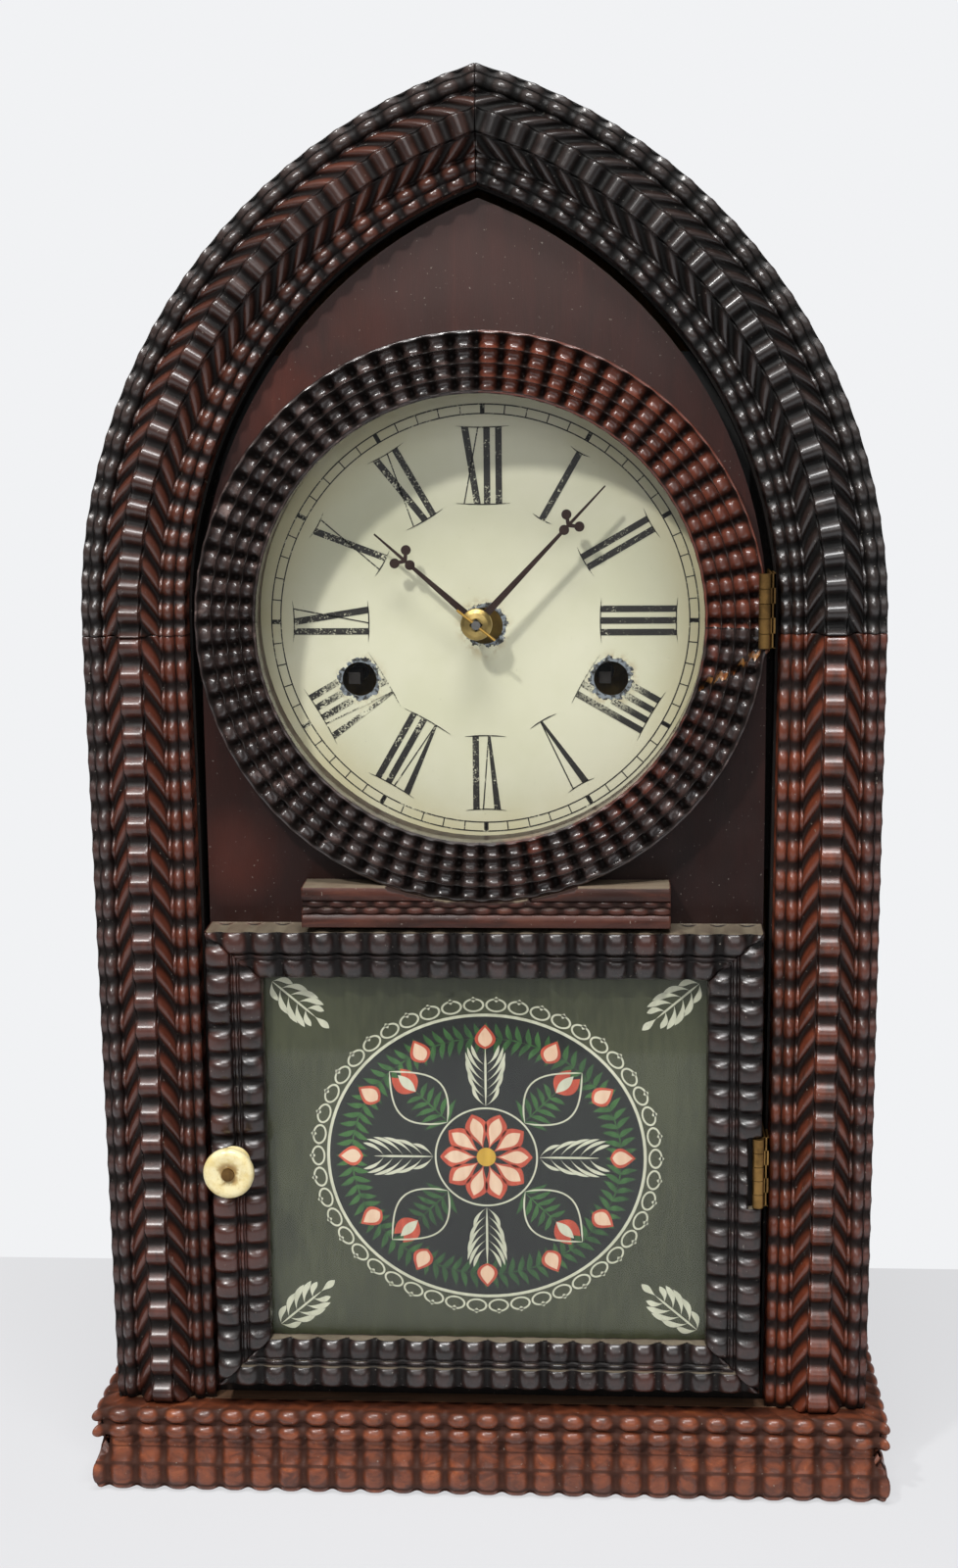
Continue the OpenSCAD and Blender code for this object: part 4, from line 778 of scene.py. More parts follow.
# Tablet frame
# Four mitred strips, each with two broad rippled rows and a fillet between them, hold
# the lower glass in a rabbet.
frame_half, frame_low, frame_high = 93.0, 38.0, 199.0
open_half, open_low, open_high = 74.3, 54.5, 182.0
frame_pitch, frame_steps, drawn_w, strip_gap = 9.75, 216, 18.7, 0.05


def frame_stain(s, at, tone):
    """Red patches where the varnish has thinned."""
    patch = s.noise(at, 16.0, 3.0, 0.6).ramp(0.55, 0.7) * 0.6
    low = s.reach(at, -frame_half, 92.0).ramp(10.0, 30.0, 0.8, 0.0)
    return patch.larger(low).mix(tone, srgb("532c22"))


frame_wood = wood("frame_rosewood", "17100e", "2c1d1a", "402b27", (40, 40, 40), 0.34, 0.8,
                  dust=0.7, valley_dirt_and_shade="0c0807", stain=frame_stain)


def strip_rows(width):
    """The strips' section, drawn for the side strips and fitted to another width."""
    k = width / drawn_w
    return section_points([
        (0.0, 0.3, 0.1, 13.0, 0.0, 0.9, 1.4, 0, 0, 4),
        (0.3 * k, 14.0, 8.2 * k, 14.2, 1.6, 2.6, 2.4, 0, 0, 13),
        (8.4 * k, 12.6, 8.9 * k, 12.4, 0.0, 1.2, 1.4, 0, 0, 1),
        (9.1 * k, 12.9, 10.3 * k, 12.9, 0.6, 1.6, 1.4, 0, 0, 5),
        (10.5 * k, 12.4, 10.9 * k, 12.4, 0.0, 1.2, 1.4, 0, 0, 1),
        (11.1 * k, 12.8, 18.3 * k, 10.7, 1.5, 2.6, 2.4, 0, 0, 13),
        (18.6 * k, 9.6, width, 6.9, 0.0, 0.4, 1.4, 0, 0, 2)])


side_w, low_w, high_w = frame_half - open_half, open_low - frame_low, frame_high - open_high
for node, width, edge, way, lies in (
        ("frame_bottom", low_w, frame_low, 1, True), ("frame_top", high_w, frame_high, -1, True),
        ("frame_left", side_w, -frame_half, 1, False),
        ("frame_right", side_w, frame_half, -1, False)):
    def place(w, h, s):
        x, z = (s, edge + way * w) if lies else (edge + way * w, s)
        return x, panel_front - h, z
    first, last, first_w, last_w = ((-frame_half, frame_half, side_w, side_w) if lies
                                    else (frame_low, frame_high, low_w, high_w))
    strip = moulding(node + "_strip", strip_rows(width),
                     [(width - 4, 6.8), (width - 4, 0.1), (0.0, 0.1)], place,
                     lambda w: first + w * first_w / width + strip_gap,
                     lambda w: last - w * last_w / width - strip_gap,
                     frame_steps, frame_pitch, frame_wood)
    if node == "frame_right":
        cut_with(strip, barrel_room(*barrels[0]))
    own(strip, "door", cad=[node])


# Glass
# Two panes of thin old window glass, one behind the ring and one in the tablet frame,
# each held in its rabbet by narrow pine stops.
def clear_glass(name, tint):
    """Clear, with only the room's reflection on it."""
    made, s = new_material(name)
    slant = s.node("ShaderNodeLayerWeight", {}, {"Blend": 0.5}, "Facing")
    return surface(made, s, {"Base Color": tint, "Metallic": 1.0, "Roughness": 0.04,
                             "Alpha": slant ** 5.0 * 0.7 + 0.012})


finish_cad(clear_glass("dial_pane", (0.95, 0.97, 0.97)), "dial_glass")
finish_cad(clear_glass("tablet_pane", (0.9, 0.94, 0.93)), "tablet_glass")


# Tablet painting
# The lower glass is painted from behind in oil colours: an oval of dark ground with a
# wreath and a flower on it, a looped cream line round it, and a sprig in each corner,
# all over a grey-green ground.
def oil_paint(name, low, high, specks=0.3, speck_colour="3d4038", rough=0.45):
    """Hand-laid paint: cloudy, streaked by the brush and a little flaked."""
    made, s = new_material(name)
    at = s.place()
    cloud = s.noise(at, 16.0, 4.0, 0.55) * 0.6 + s.noise(s.stretch(at, (500, 500, 90)),
                                                         1.0, 2.0) * 0.4
    flakes = s.noise(at, 300.0, 3.0, 0.6)
    tone = cloud.ramp(0.38, 0.62).mix(srgb(low), srgb(high))
    tone = (flakes.ramp(0.62, 0.72) * specks).mix(tone, srgb(speck_colour))
    return surface(made, s, {"Base Color": tone, "Roughness": rough})


ground_paint = oil_paint("tablet_ground", "373a27", "444731")
dark_paint = oil_paint("tablet_black_green", "0f110e", "191c17", 0.3, "3a3d33")
cream_paint = oil_paint("tablet_cream", "bdbea6", "cfcfb8", 0.3, "8d8f7b")
green_paint = oil_paint("tablet_green", "23481f", "3d6b32", 0.3, "1a2c17")
coral_paint = oil_paint("tablet_coral", "a8402a", "c8573c", 0.2, "7c2f20")
blush_paint = oil_paint("tablet_blush", "d6b294", "e2c7aa", 0.2, "c08a6c")
gold_paint = oil_paint("tablet_gold", "b08a24", "cda436", 0.2, "8a6a1c")
finish_cad(ground_paint, "tablet_paint")


def blade(foot, angle, length, width, fat=1.0, bend=0.0, count=9):
    """Outline of one brush stroke. The angle is clockwise from straight up; fat below 1
    puts the belly near the foot, above 1 near the tip."""
    left, right = [], []
    for i in range(count + 1):
        t = i / count
        a = radians(angle + bend * (t - 0.5))
        along, half = length * t, width / 2 * sin(pi * t ** fat) if 0 < i < count else 0
        x, z = foot[0] + along * sin(a), foot[1] + along * cos(a)
        left.append((x - half * cos(a), z + half * sin(a)))
        right.append((x + half * cos(a), z - half * sin(a)))
    return left + right[-2:0:-1]


def line(points, half):
    """Outline of a thin painted line through points, pointed at both ends."""
    left, right = [], []
    for i, (x, z) in enumerate(points):
        (x0, z0), (x1, z1) = points[max(i - 1, 0)], points[min(i + 1, len(points) - 1)]
        length = hypot(x1 - x0, z1 - z0)
        reach = half if 0 < i < len(points) - 1 else half * 0.2
        nx, nz = -(z1 - z0) / length * reach, (x1 - x0) / length * reach
        left.append((x + nx, z + nz))
        right.append((x - nx, z - nz))
    return left + right[::-1]


def oval(a, b, count=96):
    return [(a * cos(2 * pi * i / count), b * sin(2 * pi * i / count)) for i in range(count)]


def prism_faces(first, n):
    """Faces of a prism whose ends have n points each, numbered from first."""
    ends = [tuple(range(first, first + n)), tuple(range(first + n, first + 2 * n))[::-1]]
    return ends + [(first + i, first + n + i, first + n + (i + 1) % n, first + (i + 1) % n)
                   for i in range(n)]


def painted(name, outlines, front, back, at=(0, 0), bands=()):
    """Thin closed films of paint between two depths, from outlines of (x, z) points;
    bands are pairs of closed outlines, the outer and the inner."""
    verts, faces = [], []

    def lay(outline):
        n, first = len(outline), len(verts)
        for y in (face_y + front, face_y + back):
            verts.extend((x + at[0], y, z + at[1]) for x, z in outline)
        return n, first
    for outline in outlines:
        n, first = lay(outline)
        faces += prism_faces(first, n)
    for outer, inner in bands:
        n, a = lay(outer)
        n, b = lay(inner)
        for i in range(n):
            j = (i + 1) % n
            faces += [(a + i, a + j, b + j, b + i), (a + n + i, b + n + i, b + n + j, a + n + j),
                      (a + i, a + n + i, a + n + j, a + j), (b + i, b + j, b + n + j, b + n + i)]
    return turned_out(piece(name, verts, faces, smooth=False))


def strung_tree():
    """Strings copies of a shape along an upright oval, each turned to follow it. The
    shape's z points at the oval's middle."""
    tree, given = geometry_tree("strung_round", {
        "Count": "Int", "Width": "Float", "Height": "Float", "Centre": "Vector",
        "Material": "Material"})
    s = Sock(tree)
    ring = s.node("GeometryNodeCurvePrimitiveCircle", {}, {"Resolution": 256, "Radius": 1.0})
    size = s.node("ShaderNodeCombineXYZ", {}, {0: given["Width"], 1: given["Height"], 2: 1.0})
    wide = s.node("GeometryNodeTransform", {}, {"Geometry": ring, "Scale": size})
    upright = s.node("GeometryNodeTransform", {}, {
        "Geometry": wide, "Rotation": (pi / 2, 0, 0), "Translation": given["Centre"]})
    spots = s.node("GeometryNodeCurveToPoints", {"mode": "COUNT"},
                   {"Curve": upright, "Count": given["Count"]})
    heading = s.node("FunctionNodeAlignRotationToVector", {"axis": "X", "pivot_axis": "Y"},
                     {"Vector": spots.twin("Tangent")})
    copies = s.node("GeometryNodeInstanceOnPoints", {}, {
        "Points": spots, "Instance": given["Geometry"], "Rotation": heading})
    end_tree(tree, copies, given["Material"])
    return tree


strung = strung_tree()


def string_round(obj, count, width, height, x, z, material):
    """Strings a shape drawn round the origin along an oval at x, z (millimetres)."""
    return grow(obj, strung, {
        "Count": count, "Width": width * MM, "Height": height * MM,
        "Centre": (x * MM, 0.0, z * MM), "Material": material}, smooth=False)


mid_x, mid_z = 0.0, (open_low + open_high) / 2
oval_w, oval_h = 54.0, 50.0
layer = {"dark": (-4.43, -4.41), "leaf": (-4.45, -4.435), "petal": (-4.47, -4.455),
         "line": (-4.49, -4.475)}


def lay_paint(name, outlines, depth, material, bands=()):
    """Paints outlines about the tablet's middle on one of its layers."""
    own(painted(name, outlines, *layer[depth], (mid_x, mid_z), bands), "door",
        material)


def lay_round(name, outlines, depth, count, width, height, material, bands=()):
    """Paints an outline many times along an oval about the tablet's middle."""
    shape = painted(name, outlines, *layer[depth], bands=bands)
    own(string_round(shape, count, width, height, mid_x, mid_z, material), "door",
        material)


lay_paint("tablet_oval", [oval(oval_w, oval_h)], "dark", dark_paint)
flower_r, line_half = 17.3, 0.3
lay_paint("tablet_oval_lines", [], "line", cream_paint, [
    (oval(oval_w + 0.5, oval_h + 0.5), oval(oval_w - 0.5, oval_h - 0.5)),
    (oval(flower_r + line_half, flower_r + line_half),
     oval(flower_r - line_half, flower_r - line_half))])

loop_count = 46
loop = [[(w * cos(a), -2.9 + h * sin(a)) for a in np.linspace(0, 2 * pi, 24, False)]
        for w, h in ((3.6, 2.4), (2.9, 1.8))]
lay_round("tablet_loops", [blade((0, -5.9), 0, 2.0, 1.6)], "line", loop_count, oval_w + 0.6,
          oval_h + 0.6, cream_paint, [loop])

wreath_w, wreath_h, wreath_count, bud_count, petal_count = 46.0, 42.0, 42, 12, 10
wreath = [line([(-3.4, 0.3), (0, 0), (3.4, 0.3)], 0.25)]
wreath += [blade((x, 0), side * 52 + 90, 6.0, 1.9, 0.8, 24 * side)
           for x in (-2.6, 0.7) for side in (-1, 1)]
lay_round("tablet_wreath", wreath, "leaf", wreath_count, wreath_w, wreath_h, green_paint)

for name, material, foot, length, width, depth in (
        ("tablet_buds", coral_paint, 3.9, 8.6, 7.0, "petal"),
        ("tablet_bud_hearts", blush_paint, 3.1, 6.8, 4.8, "line")):
    lay_round(name, [blade((0, foot), 180, length, width, 0.75, 0, 12)], depth, bud_count,
              wreath_w, wreath_h, material)
for name, material, foot, length, width, depth in (
        ("tablet_petals", coral_paint, 3.0, 12.8, 7.6, "leaf"),
        ("tablet_petal_hearts", blush_paint, 4.0, 10.4, 4.4, "petal")):
    lay_round(name, [blade((0, -foot), 180, length, width, 1.5, 0, 14)], depth, petal_count,
              0.01, 0.01, material)
lay_paint("tablet_flower_eye", [oval(3.3, 3.3, 24)], "line", gold_paint)

tulip_r, leaf_pairs, plume_foot, plume_pairs = 33.0, 5, 18.2, 6
ferns, tulips, strokes = [], [], []
for turn in (-46, 46, 134, 226):
    a = radians(turn)
    root = ((flower_r + 0.5) * sin(a), (flower_r + 0.5) * cos(a))
    tip = (tulip_r * sin(a), tulip_r * cos(a))
    tulips += [blade(tip, turn + lean_out, 9.6, 4.6, 1.2, -lean_out) for lean_out in (-26, 26)]
    strokes.append(blade(tip, turn, 8.4, 3.4, 1.0))
    ferns.append(line([root, ((root[0] + tip[0]) / 2, (root[1] + tip[1]) / 2), tip], 0.3))
    for bow in (-9.0, 9.0):
        curve = [(18.4 + 27 * k / 14, bow * sin(pi * (k / 14) ** 0.9)) for k in range(15)]
        strokes.append(line([(r * sin(a) + v * cos(a), (r * cos(a) - v * sin(a)) * 0.95)
                             for r, v in curve], 0.28))
    for i in range(leaf_pairs):
        t = i / leaf_pairs
        foot = (root[0] + (tip[0] - root[0]) * t, root[1] + (tip[1] - root[1]) * t)
        ferns += [blade(foot, turn + side * 55, 8.5 - 3.5 * t, 1.7, 0.9, 20 * side)
                  for side in (-1, 1)]
for turn in (0, 90, 180, 270):
    a = radians(turn)
    reach = 20.0 if turn % 180 else 17.0
    rib = [plume_foot + k * 5 for k in range(5)]
    strokes.append(line([(r * sin(a), r * cos(a)) for r in rib], 0.35))
    for i in range(plume_pairs):
        r = plume_foot + reach * i / plume_pairs
        size = 12.5 * sin(pi * (i + 2.2) / 9.5)
        strokes += [blade((r * sin(a), r * cos(a)), turn + side * 46, size, 1.25, 1.9,
                          -26 * side) for side in (-1, 1)]
lay_paint("tablet_ferns", ferns, "leaf", green_paint)
lay_paint("tablet_tulips", tulips, "petal", coral_paint)
lay_paint("tablet_strokes", strokes, "line", cream_paint)

sprigs, sprig_in, sprig_step = [], 2.5, 3.7
for sx, sz in ((-1, -1), (-1, 1), (1, -1), (1, 1)):
    corner = (sx * (open_half - sprig_in), sz * ((open_high - open_low) / 2 - sprig_in))
    heading = degrees(np.arctan2(-corner[0], -corner[1]))
    stem = [(corner[0] + sprig_step * k * sin(radians(heading)),
             corner[1] + sprig_step * k * cos(radians(heading))) for k in range(6)]
    sprigs.append(line(stem, 0.35))
    for k, foot in enumerate(stem[:5]):
        size = 7.0 + 3.2 * k - 0.85 * k * k
        sprigs += [blade(foot, heading + side * 50, size, 2.2, 1.8, -30 * side)
                   for side in (-1, 1)]
    sprigs.append(blade(stem[5], heading, 6.5, 2.4, 1.6))
lay_paint("tablet_sprigs", sprigs, "line", cream_paint)


# Hinges
# Two five-knuckle butt hinges of brass, gone brown, with their leaves screwed to the
# door's edge and to the leg.
def metal(name, bright, dull, rough, tarnish=0.5, core=None):
    """Worn metal. core is (x, z, radius, colour): a round arbor of another metal."""
    made, s = new_material(name)
    at = s.place()
    cloud = s.noise(at, 90.0, 5.0, 0.65)
    lines = s.noise(s.stretch(at, (900, 900, 60)), 1.0, 3.0, 0.6)
    tone = (cloud.ramp(0.38, 0.66) * tarnish).mix(srgb(bright), srgb(dull))
    tone = (lines.ramp(0.5, 0.8) * 0.25).mix(tone, srgb(dull))
    if core:
        x, z, radius, colour = core
        tone = (s.reach(at, x, z) < radius).mix(tone, srgb(colour))
    roughness = cloud.ramp(0.3, 0.7, rough, rough + 0.2)
    return surface(made, s, {"Base Color": tone, "Metallic": 1.0, "Roughness": roughness},
                   (lines, 0.0002, 0.2))


hinge_brass = metal("hinge_brass", "967444", "4e3b24", 0.36, 0.8)
finish_cad(hinge_brass, "door_hinges")
barrel_r, leaf_t, leaf_end = 1.9, 0.6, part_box("case_hinges")[1][1] / MM
knuckles, knuckle_gap = 5, 0.1
leaf_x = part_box("case_hinges")[1][0] / MM - leaf_t


def rolled_leaf(low, high):
    """The case half of a hinge: three rolled knuckles in one piece with a flat leaf."""
    back, inner = hinge_y + barrel_r, hinge_y + barrel_r - leaf_t
    roll = [(hinge_x - barrel_r * sin(a), hinge_y + barrel_r * cos(a))
            for a in np.linspace(0, 2 * pi - acos(1 - leaf_t / barrel_r), 40)]
    roll += [(leaf_x + leaf_t, inner), (leaf_x + leaf_t, back)]
    flat = [(leaf_x, inner), (leaf_x + leaf_t, inner), (leaf_x + leaf_t, leaf_end),
            (leaf_x, leaf_end)]
    step = (high - low) / knuckles
    verts, faces = [], []
    for outline, z0, z1 in [
            (roll, low + k * step + knuckle_gap, low + (k + 1) * step - knuckle_gap)
            for k in range(0, knuckles, 2)] + [(flat, low, high)]:
        faces += prism_faces(len(verts), len(outline))
        verts += [(x, y, z) for z in (z0, z1) for x, y in outline]
    return turned_out(sharp(piece("case_hinge", verts, faces), 35))


for low, high in barrels:
    own(rolled_leaf(low, high), "case", hinge_brass, ["case_hinges"])


# Knob and latch
# A turned bone knob, yellowed and stained, on a brass spindle that turns a tongue
# behind the case's edge.
knob_x, knob_z, knob_r, knob_front = -84.5, 119.9, 8.5, -30.0
spindle_r, knob_foot = 2.15, -16.3


def stained_bone():
    made, s = new_material("yellowed_bone")
    at = s.place()
    off = s.reach(at, knob_x, knob_z)
    cloud = s.noise(at, 240.0, 4.0, 0.6)
    pores = s.noise(s.stretch(at, (2500, 400, 2500)), 1.0, 2.0)
    tone = cloud.ramp(0.35, 0.65).mix(srgb("e9dcae"), srgb("d9c486"))
    stain = (off.ramp(3.0, 5.2, 1.0, 0.0) * cloud.ramp(0.42, 0.6)).larger(
        off.ramp(2.4, 3.0, 0.9, 0.0))
    tone = (stain * 0.8).mix(tone, srgb("8f6a35"))
    low = s.noise(at, 120.0, 3.0).ramp(0.55, 0.7) * off.ramp(5.5, 7.5)
    tone = (low * 0.6).mix(tone, srgb("b08a4a"))
    tone = (pores.ramp(0.6, 0.75) * 0.3).mix(tone, srgb("a58a58"))
    return surface(made, s, {"Base Color": tone, "Roughness": cloud.ramp(0.3, 0.7, 0.25, 0.4),
                             "Coat Weight": 0.3, "Coat Roughness": 0.12},
                   (pores, 0.0002, 0.15))


knob = turned("bone_knob", [
    (spindle_r, knob_front + 1.0), (3.2, knob_front + 0.75), (5.4, knob_front + 0.4),
    (6.8, knob_front + 0.25), (7.6, knob_front + 0.5), (8.2, knob_front + 1.0),
    (knob_r, knob_front + 1.9), (knob_r, knob_front + 3.3), (8.1, knob_front + 4.3),
    (6.9, knob_front + 5.1), (5.4, knob_front + 5.7), (4.7, knob_front + 6.8),
    (4.5, knob_front + 9.0), (4.7, knob_foot - 1.6), (5.5, knob_foot - 0.3),
    (5.5, knob_foot), (spindle_r, knob_foot)], knob_x, knob_z)
own(sharp(knob, 50), "latch", stained_bone(), ["door_knob"])
finish_cad(metal("spindle_brass", "8a6a40", "4a3620", 0.4, 0.8), "latch_tongue")


# Dial
# A square sheet of zinc, painted cream inside a circle, with the track and the numerals
# printed in black. Outside the circle it is near black, painted shade for the dark gap
# round the door. The paint has chipped round the holes and the black is worn.
dial_x, dial_z, dial_d = 0.0, 299.2, 15.0
hole_drop, centre_hole, cream_r = 1.6, 6.2, 86.0
winding_x, winding_drop, winding_hole = 42.4, 19.5, 5.8


def dial_paint():
    made, s = new_material("dial_cream")
    at = s.place()
    cloud = s.noise(at, 18.0, 5.0, 0.6)
    fine = s.noise(at, 700.0, 3.0, 0.6)
    crumbs = s.noise(at, 330.0, 4.0, 0.7)
    tone = cloud.ramp(0.35, 0.65).mix(srgb("d3d1b8"), srgb("cac9ac"))
    out = s.reach(at, dial_x, dial_z)
    # Painted shade under the ring: darker and yellower towards the rim, in patches.
    tone = (out.ramp(56.0, 76.0) * cloud.ramp(0.35, 0.6, 0.25, 0.75)).mix(tone, srgb("c3b98f"))
    tone = (fine.ramp(0.68, 0.76) * 0.35).mix(tone, srgb("8a8470"))
    # Painted shade: near black outside the cream circle, for the dark gap round the door.
    tone = (out > cream_r).mix(tone, srgb("0b0a09"))
    holes = [(0.0, hole_drop, centre_hole), (winding_x, winding_drop, winding_hole),
             (-winding_x, winding_drop, winding_hole)]
    for x, drop, radius in holes:
        off = s.reach(at, x, dial_z - drop)
        soil = off.ramp(radius + 0.5, radius + 5.0, 0.7, 0.0) * cloud.ramp(0.35, 0.6)
        low = s.reach(at, x, dial_z - drop - 3.5).ramp(radius - 1.0, radius + 3.0, 0.5, 0.0)
        tone = (soil.larger(low) * crumbs.ramp(0.4, 0.6)).mix(tone, srgb("a08a5c"))
        broken = crumbs + off.ramp(radius, radius + 3.4, 0.26, -0.1)
        chip = (broken > 0.63) * (off < radius + 4.5)
        tone = chip.mix(tone, fine.ramp(0.4, 0.6).mix(srgb("26241f"), srgb("7d858a")))
    return surface(made, s, {"Base Color": tone, "Roughness": cloud.ramp(0.3, 0.7, 0.4, 0.55)},
                   (crumbs, 0.0002, 0.12))


finish_cad(dial_paint(), "dial")


def worn_black():
    """Printing black, rubbed through to the cream in streaks and gone near the holes."""
    made, s = new_material("dial_black")
    at = s.place()
    streaks = s.noise(at, 210.0, 5.0, 0.7)
    grit = s.noise(at, 1500.0, 3.0, 0.6)
    area = s.noise(at, 28.0, 2.0, 0.5)
    gone = (streaks * 0.5 + grit * 0.5 + area * 0.35).ramp(0.7, 0.8)
    for x in (winding_x, -winding_x):
        near = s.reach(at, x, dial_z - winding_drop).ramp(6.0, 15.0, 0.85, 0.0)
        gone = gone.larger(near * grit.ramp(0.36, 0.56))
    tone = gone.mix(srgb("211f1b"), srgb("cfcdb2"))
    return surface(made, s, {"Base Color": tone, "Roughness": 0.5})


black = worn_black()
ink, late_ink = (dial_d - 0.06, dial_d - 0.01), (dial_d - 0.12, dial_d - 0.07)
track_out, track_in, half_line = 71.7, 68.6, 0.21
circles = [tuple(oval(r + side, r + side, 180) for side in (half_line, -half_line))
           for r in (track_out, track_in)]
own(painted("dial_track", [], *ink, (dial_x, dial_z), circles), "case", black)
reach, middle_r = (track_out - track_in) / 2 - 0.1, (track_out + track_in) / 2
for name, count, width in (("dial_minutes", 60, 0.38), ("dial_fives", 12, 1.5)):
    mark = painted(name, [[(-width / 2, -reach), (width / 2, -reach), (width / 2, reach),
                           (-width / 2, reach)]], *ink)
    own(string_round(mark, count, middle_r, middle_r, dial_x, dial_z, black), "case",
        black)

numeral_in, numeral_out = 39.0, 64.3
letter_w = {"I": 3.9, "V": 6.6, "X": 6.6}


def letter(kind, c):
    """Strokes of one letter about c, as (foot, top, half width at foot, at top)."""
    if kind == "I":
        return [(c, c, 1.08, 1.08)]
    if kind == "V":
        return [(c + 0.7, c - 2.0, 0.45, 1.15), (c + 0.9, c + 2.9, 0.18, 0.22)]
    return [(c + 2.0, c - 2.0, 1.12, 1.16), (c - 2.4, c + 2.4, 0.2, 0.22)]


def clear_runs(low, high):
    """The parts of a stroke that the winding holes leave, as shares of its length."""
    shares = np.linspace(0, 1, 61)
    runs, open_at = [], None
    for t in shares:
        x, z = (low[i] + (high[i] - low[i]) * t for i in (0, 1))
        clear = hypot(abs(x) - winding_x, z + winding_drop) > winding_hole + 1.4
        if clear and open_at is None:
            open_at = t
        if open_at is not None and (not clear or t == 1):
            if t - open_at > 0.05:
                runs.append((open_at, t))
            open_at = None
    return runs


def numerals():
    """The twelve numerals, each with its top outwards, as outlines round the centre."""
    outlines = []
    names = ("XII", "I", "II", "III", "IIII", "V", "VI", "VII", "VIII", "IX", "X", "XI")
    for hour, name in enumerate(names):
        a = radians(30 * hour)

        def on_dial(u, v):
            return (u * cos(a) + v * sin(a), v * cos(a) - u * sin(a))
        total = sum(letter_w[k] for k in name)
        start = -total / 2
        for k in name:
            c = start + letter_w[k] / 2
            start += letter_w[k]
            for foot, top, half_foot, half_top in letter(k, c):
                for t0, t1 in clear_runs(on_dial(foot, numeral_in), on_dial(top, numeral_out)):
                    ends = []
                    for t in (t0, t1):
                        u = foot + (top - foot) * t
                        v = numeral_in + (numeral_out - numeral_in) * t
                        half = half_foot + (half_top - half_foot) * t
                        ends.append((on_dial(u - half, v), on_dial(u + half, v)))
                    outlines.append([ends[0][0], ends[0][1], ends[1][1], ends[1][0]])
        reach = total / 2 + 1.7
        for v, bow, half in ((numeral_out, 0.5, 0.17), (numeral_in, 0.35, 0.2)):
            points = [on_dial(reach * t, v + bow * (t * t - 0.5)) for t in
                      (-1, -0.5, 0, 0.5, 1)]
            outlines.append(line(points, half))
    return outlines


own(painted("dial_numerals", numerals(), *late_ink, (dial_x, dial_z)), "case",
    black)


# Hands
# Thin browned steel hands with a trefoil of discs, held on the arbor by a domed brass
# collet and a taper pin.
browned = metal("browned_steel", "4a3c38", "2a201e", 0.42, 0.6)
finish_cad(browned, "minute_hand", "hour_hand")
finish_cad(metal("collet_brass", "b59c60", "75623c", 0.26, 0.6), "hand_collet")
finish_cad(metal("pin_brass", "c9a050", "8f6d34", 0.28, 0.4), "hand_pin")


# Movement
# An eight-day spring movement: pierced brass plates on pillars, cut brass wheels on
# steel arbors, open mainsprings, and a verge that the crutch hangs from.
arbor_r, arbor_steel = 2.2, "7c7a78"
# Plates darkened: tarnish, and painted shade for the dark inside of the case.
plate_brass_tarnish_and_shade = metal("plate_brass_tarnish_and_shade", "6e5a32", "3d301a", 0.45, 0.8)
finish_cad(plate_brass_tarnish_and_shade, "front_plate", "back_plate", "plate_pillars")
for node in ("hour_wheel", "minute_wheel", "time_great_wheel", "time_second_wheel",
             "centre_wheel", "third_wheel", "escape_wheel", "strike_great_wheel",
             "strike_second_wheel", "strike_third_wheel", "strike_fly"):
    low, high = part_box(node)
    axis = [(low[i] + high[i]) / 2 / MM for i in (0, 2)]
    finish_cad(metal(node + "_brass", "caa858", "93753a", 0.26, 0.5,
                     (*axis, arbor_r, arbor_steel)), node)
steel = metal("bright_steel", "8d8b88", "55514d", 0.3, 0.5)
finish_cad(steel, "centre_arbor", "verge", "strike_hammer", "pendulum_rod")
# Winding arbors darker than the other steel: painted shade for the dark inside seen through the
# winding holes.
finish_cad(metal("arbor_steel", "45423f", "24211f", 0.4, 0.7), "time_winding_arbor",
           "strike_winding_arbor")
# Mainsprings darkened: painted shade for the dark inside of the case.
finish_cad(metal("spring_steel_shaded", "5a5f68", "33343a", 0.3, 0.5), "mainsprings")


# Gong and pendulum
# A coil of steel wire on an iron foot screwed to the back board, and a brass bob on a
# wire rod that hangs in front of it.
gong_x, gong_z, gong_d, gong_r, gong_pitch, gong_turns = 0.0, 128.0, 62.0, 8.0, 6.0, 5
wire_r, coil_steps = 1.2, 32


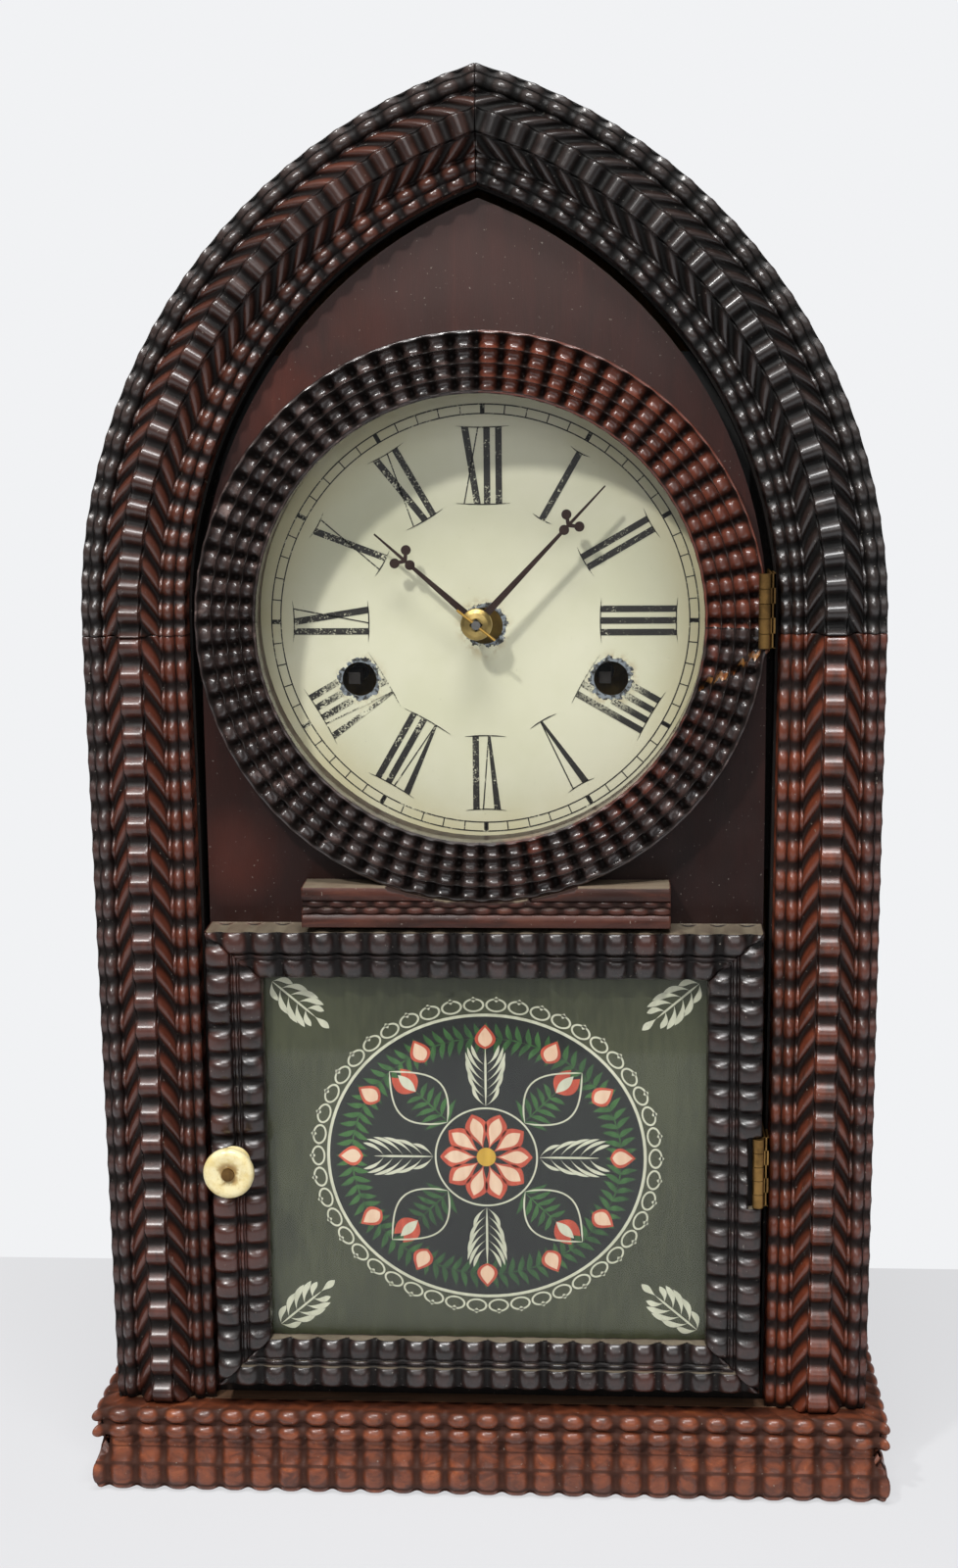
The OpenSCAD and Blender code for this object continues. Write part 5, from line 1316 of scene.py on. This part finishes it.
def wire_tree():
    """Draws a round wire along a line of edges."""
    tree, given = geometry_tree("drawn_wire", {
        "Radius": "Float", "Sides": "Int", "Material": "Material"})
    s = Sock(tree)
    path = s.node("GeometryNodeMeshToCurve", {}, {"Mesh": given["Geometry"]})
    section = s.node("GeometryNodeCurvePrimitiveCircle", {}, {
        "Resolution": given["Sides"], "Radius": given["Radius"]})
    wire = s.node("GeometryNodeCurveToMesh", {}, {
        "Curve": path, "Profile Curve": section, "Fill Caps": True})
    end_tree(tree, wire, given["Material"])
    return tree


wire_steel = metal("gong_wire_steel", "6a6e76", "3c3e44", 0.28, 0.5)
coil_points = [(gong_x + gong_r, face_y + gong_d, gong_z)]
for half_turn in range(2 * gong_turns):
    r = gong_r + half_turn * gong_pitch / 2
    centre = gong_x + (gong_pitch / 2 if half_turn % 2 else 0)
    for k in range(1, coil_steps + 1):
        a = pi * (half_turn + k / coil_steps)
        coil_points.append((centre + r * cos(a), face_y + gong_d, gong_z + r * sin(a)))
coil_mesh = bpy.data.meshes.new("gong_wire")
coil_mesh.from_pydata((np.array(coil_points) * MM).tolist(),
                      [(i, i + 1) for i in range(len(coil_points) - 1)], [])
coil = bpy.data.objects.new("gong_wire", coil_mesh)
scene.collection.objects.link(coil)
grow(coil, wire_tree(), {"Radius": wire_r * MM, "Sides": 20, "Material": wire_steel})
own(turned_out(coil), "case", cad=["gong_coil"])
finish_cad(metal("gong_iron", "3a3836", "1f1d1c", 0.5, 0.7), "gong_base")

low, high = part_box("pendulum_bob")
bob_x, bob_z, bob_r = (low[0] + high[0]) / 2 / MM, (low[2] + high[2]) / 2 / MM, 19.0
bob_d, bob_half = (low[1] + high[1]) / 2 / MM - face_y, (high[1] - low[1]) / 2 / MM
bob_profile = [(bob_r * sin(pi * k / 24), bob_d - bob_half * cos(pi * k / 24))
               for k in range(25)]
bob = turned("lens_bob", bob_profile, bob_x, bob_z)
own(sharp(bob, 60), "pendulum",
    metal("bob_brass", "caa552", "93743a", 0.2, 0.4), ["pendulum_bob"])
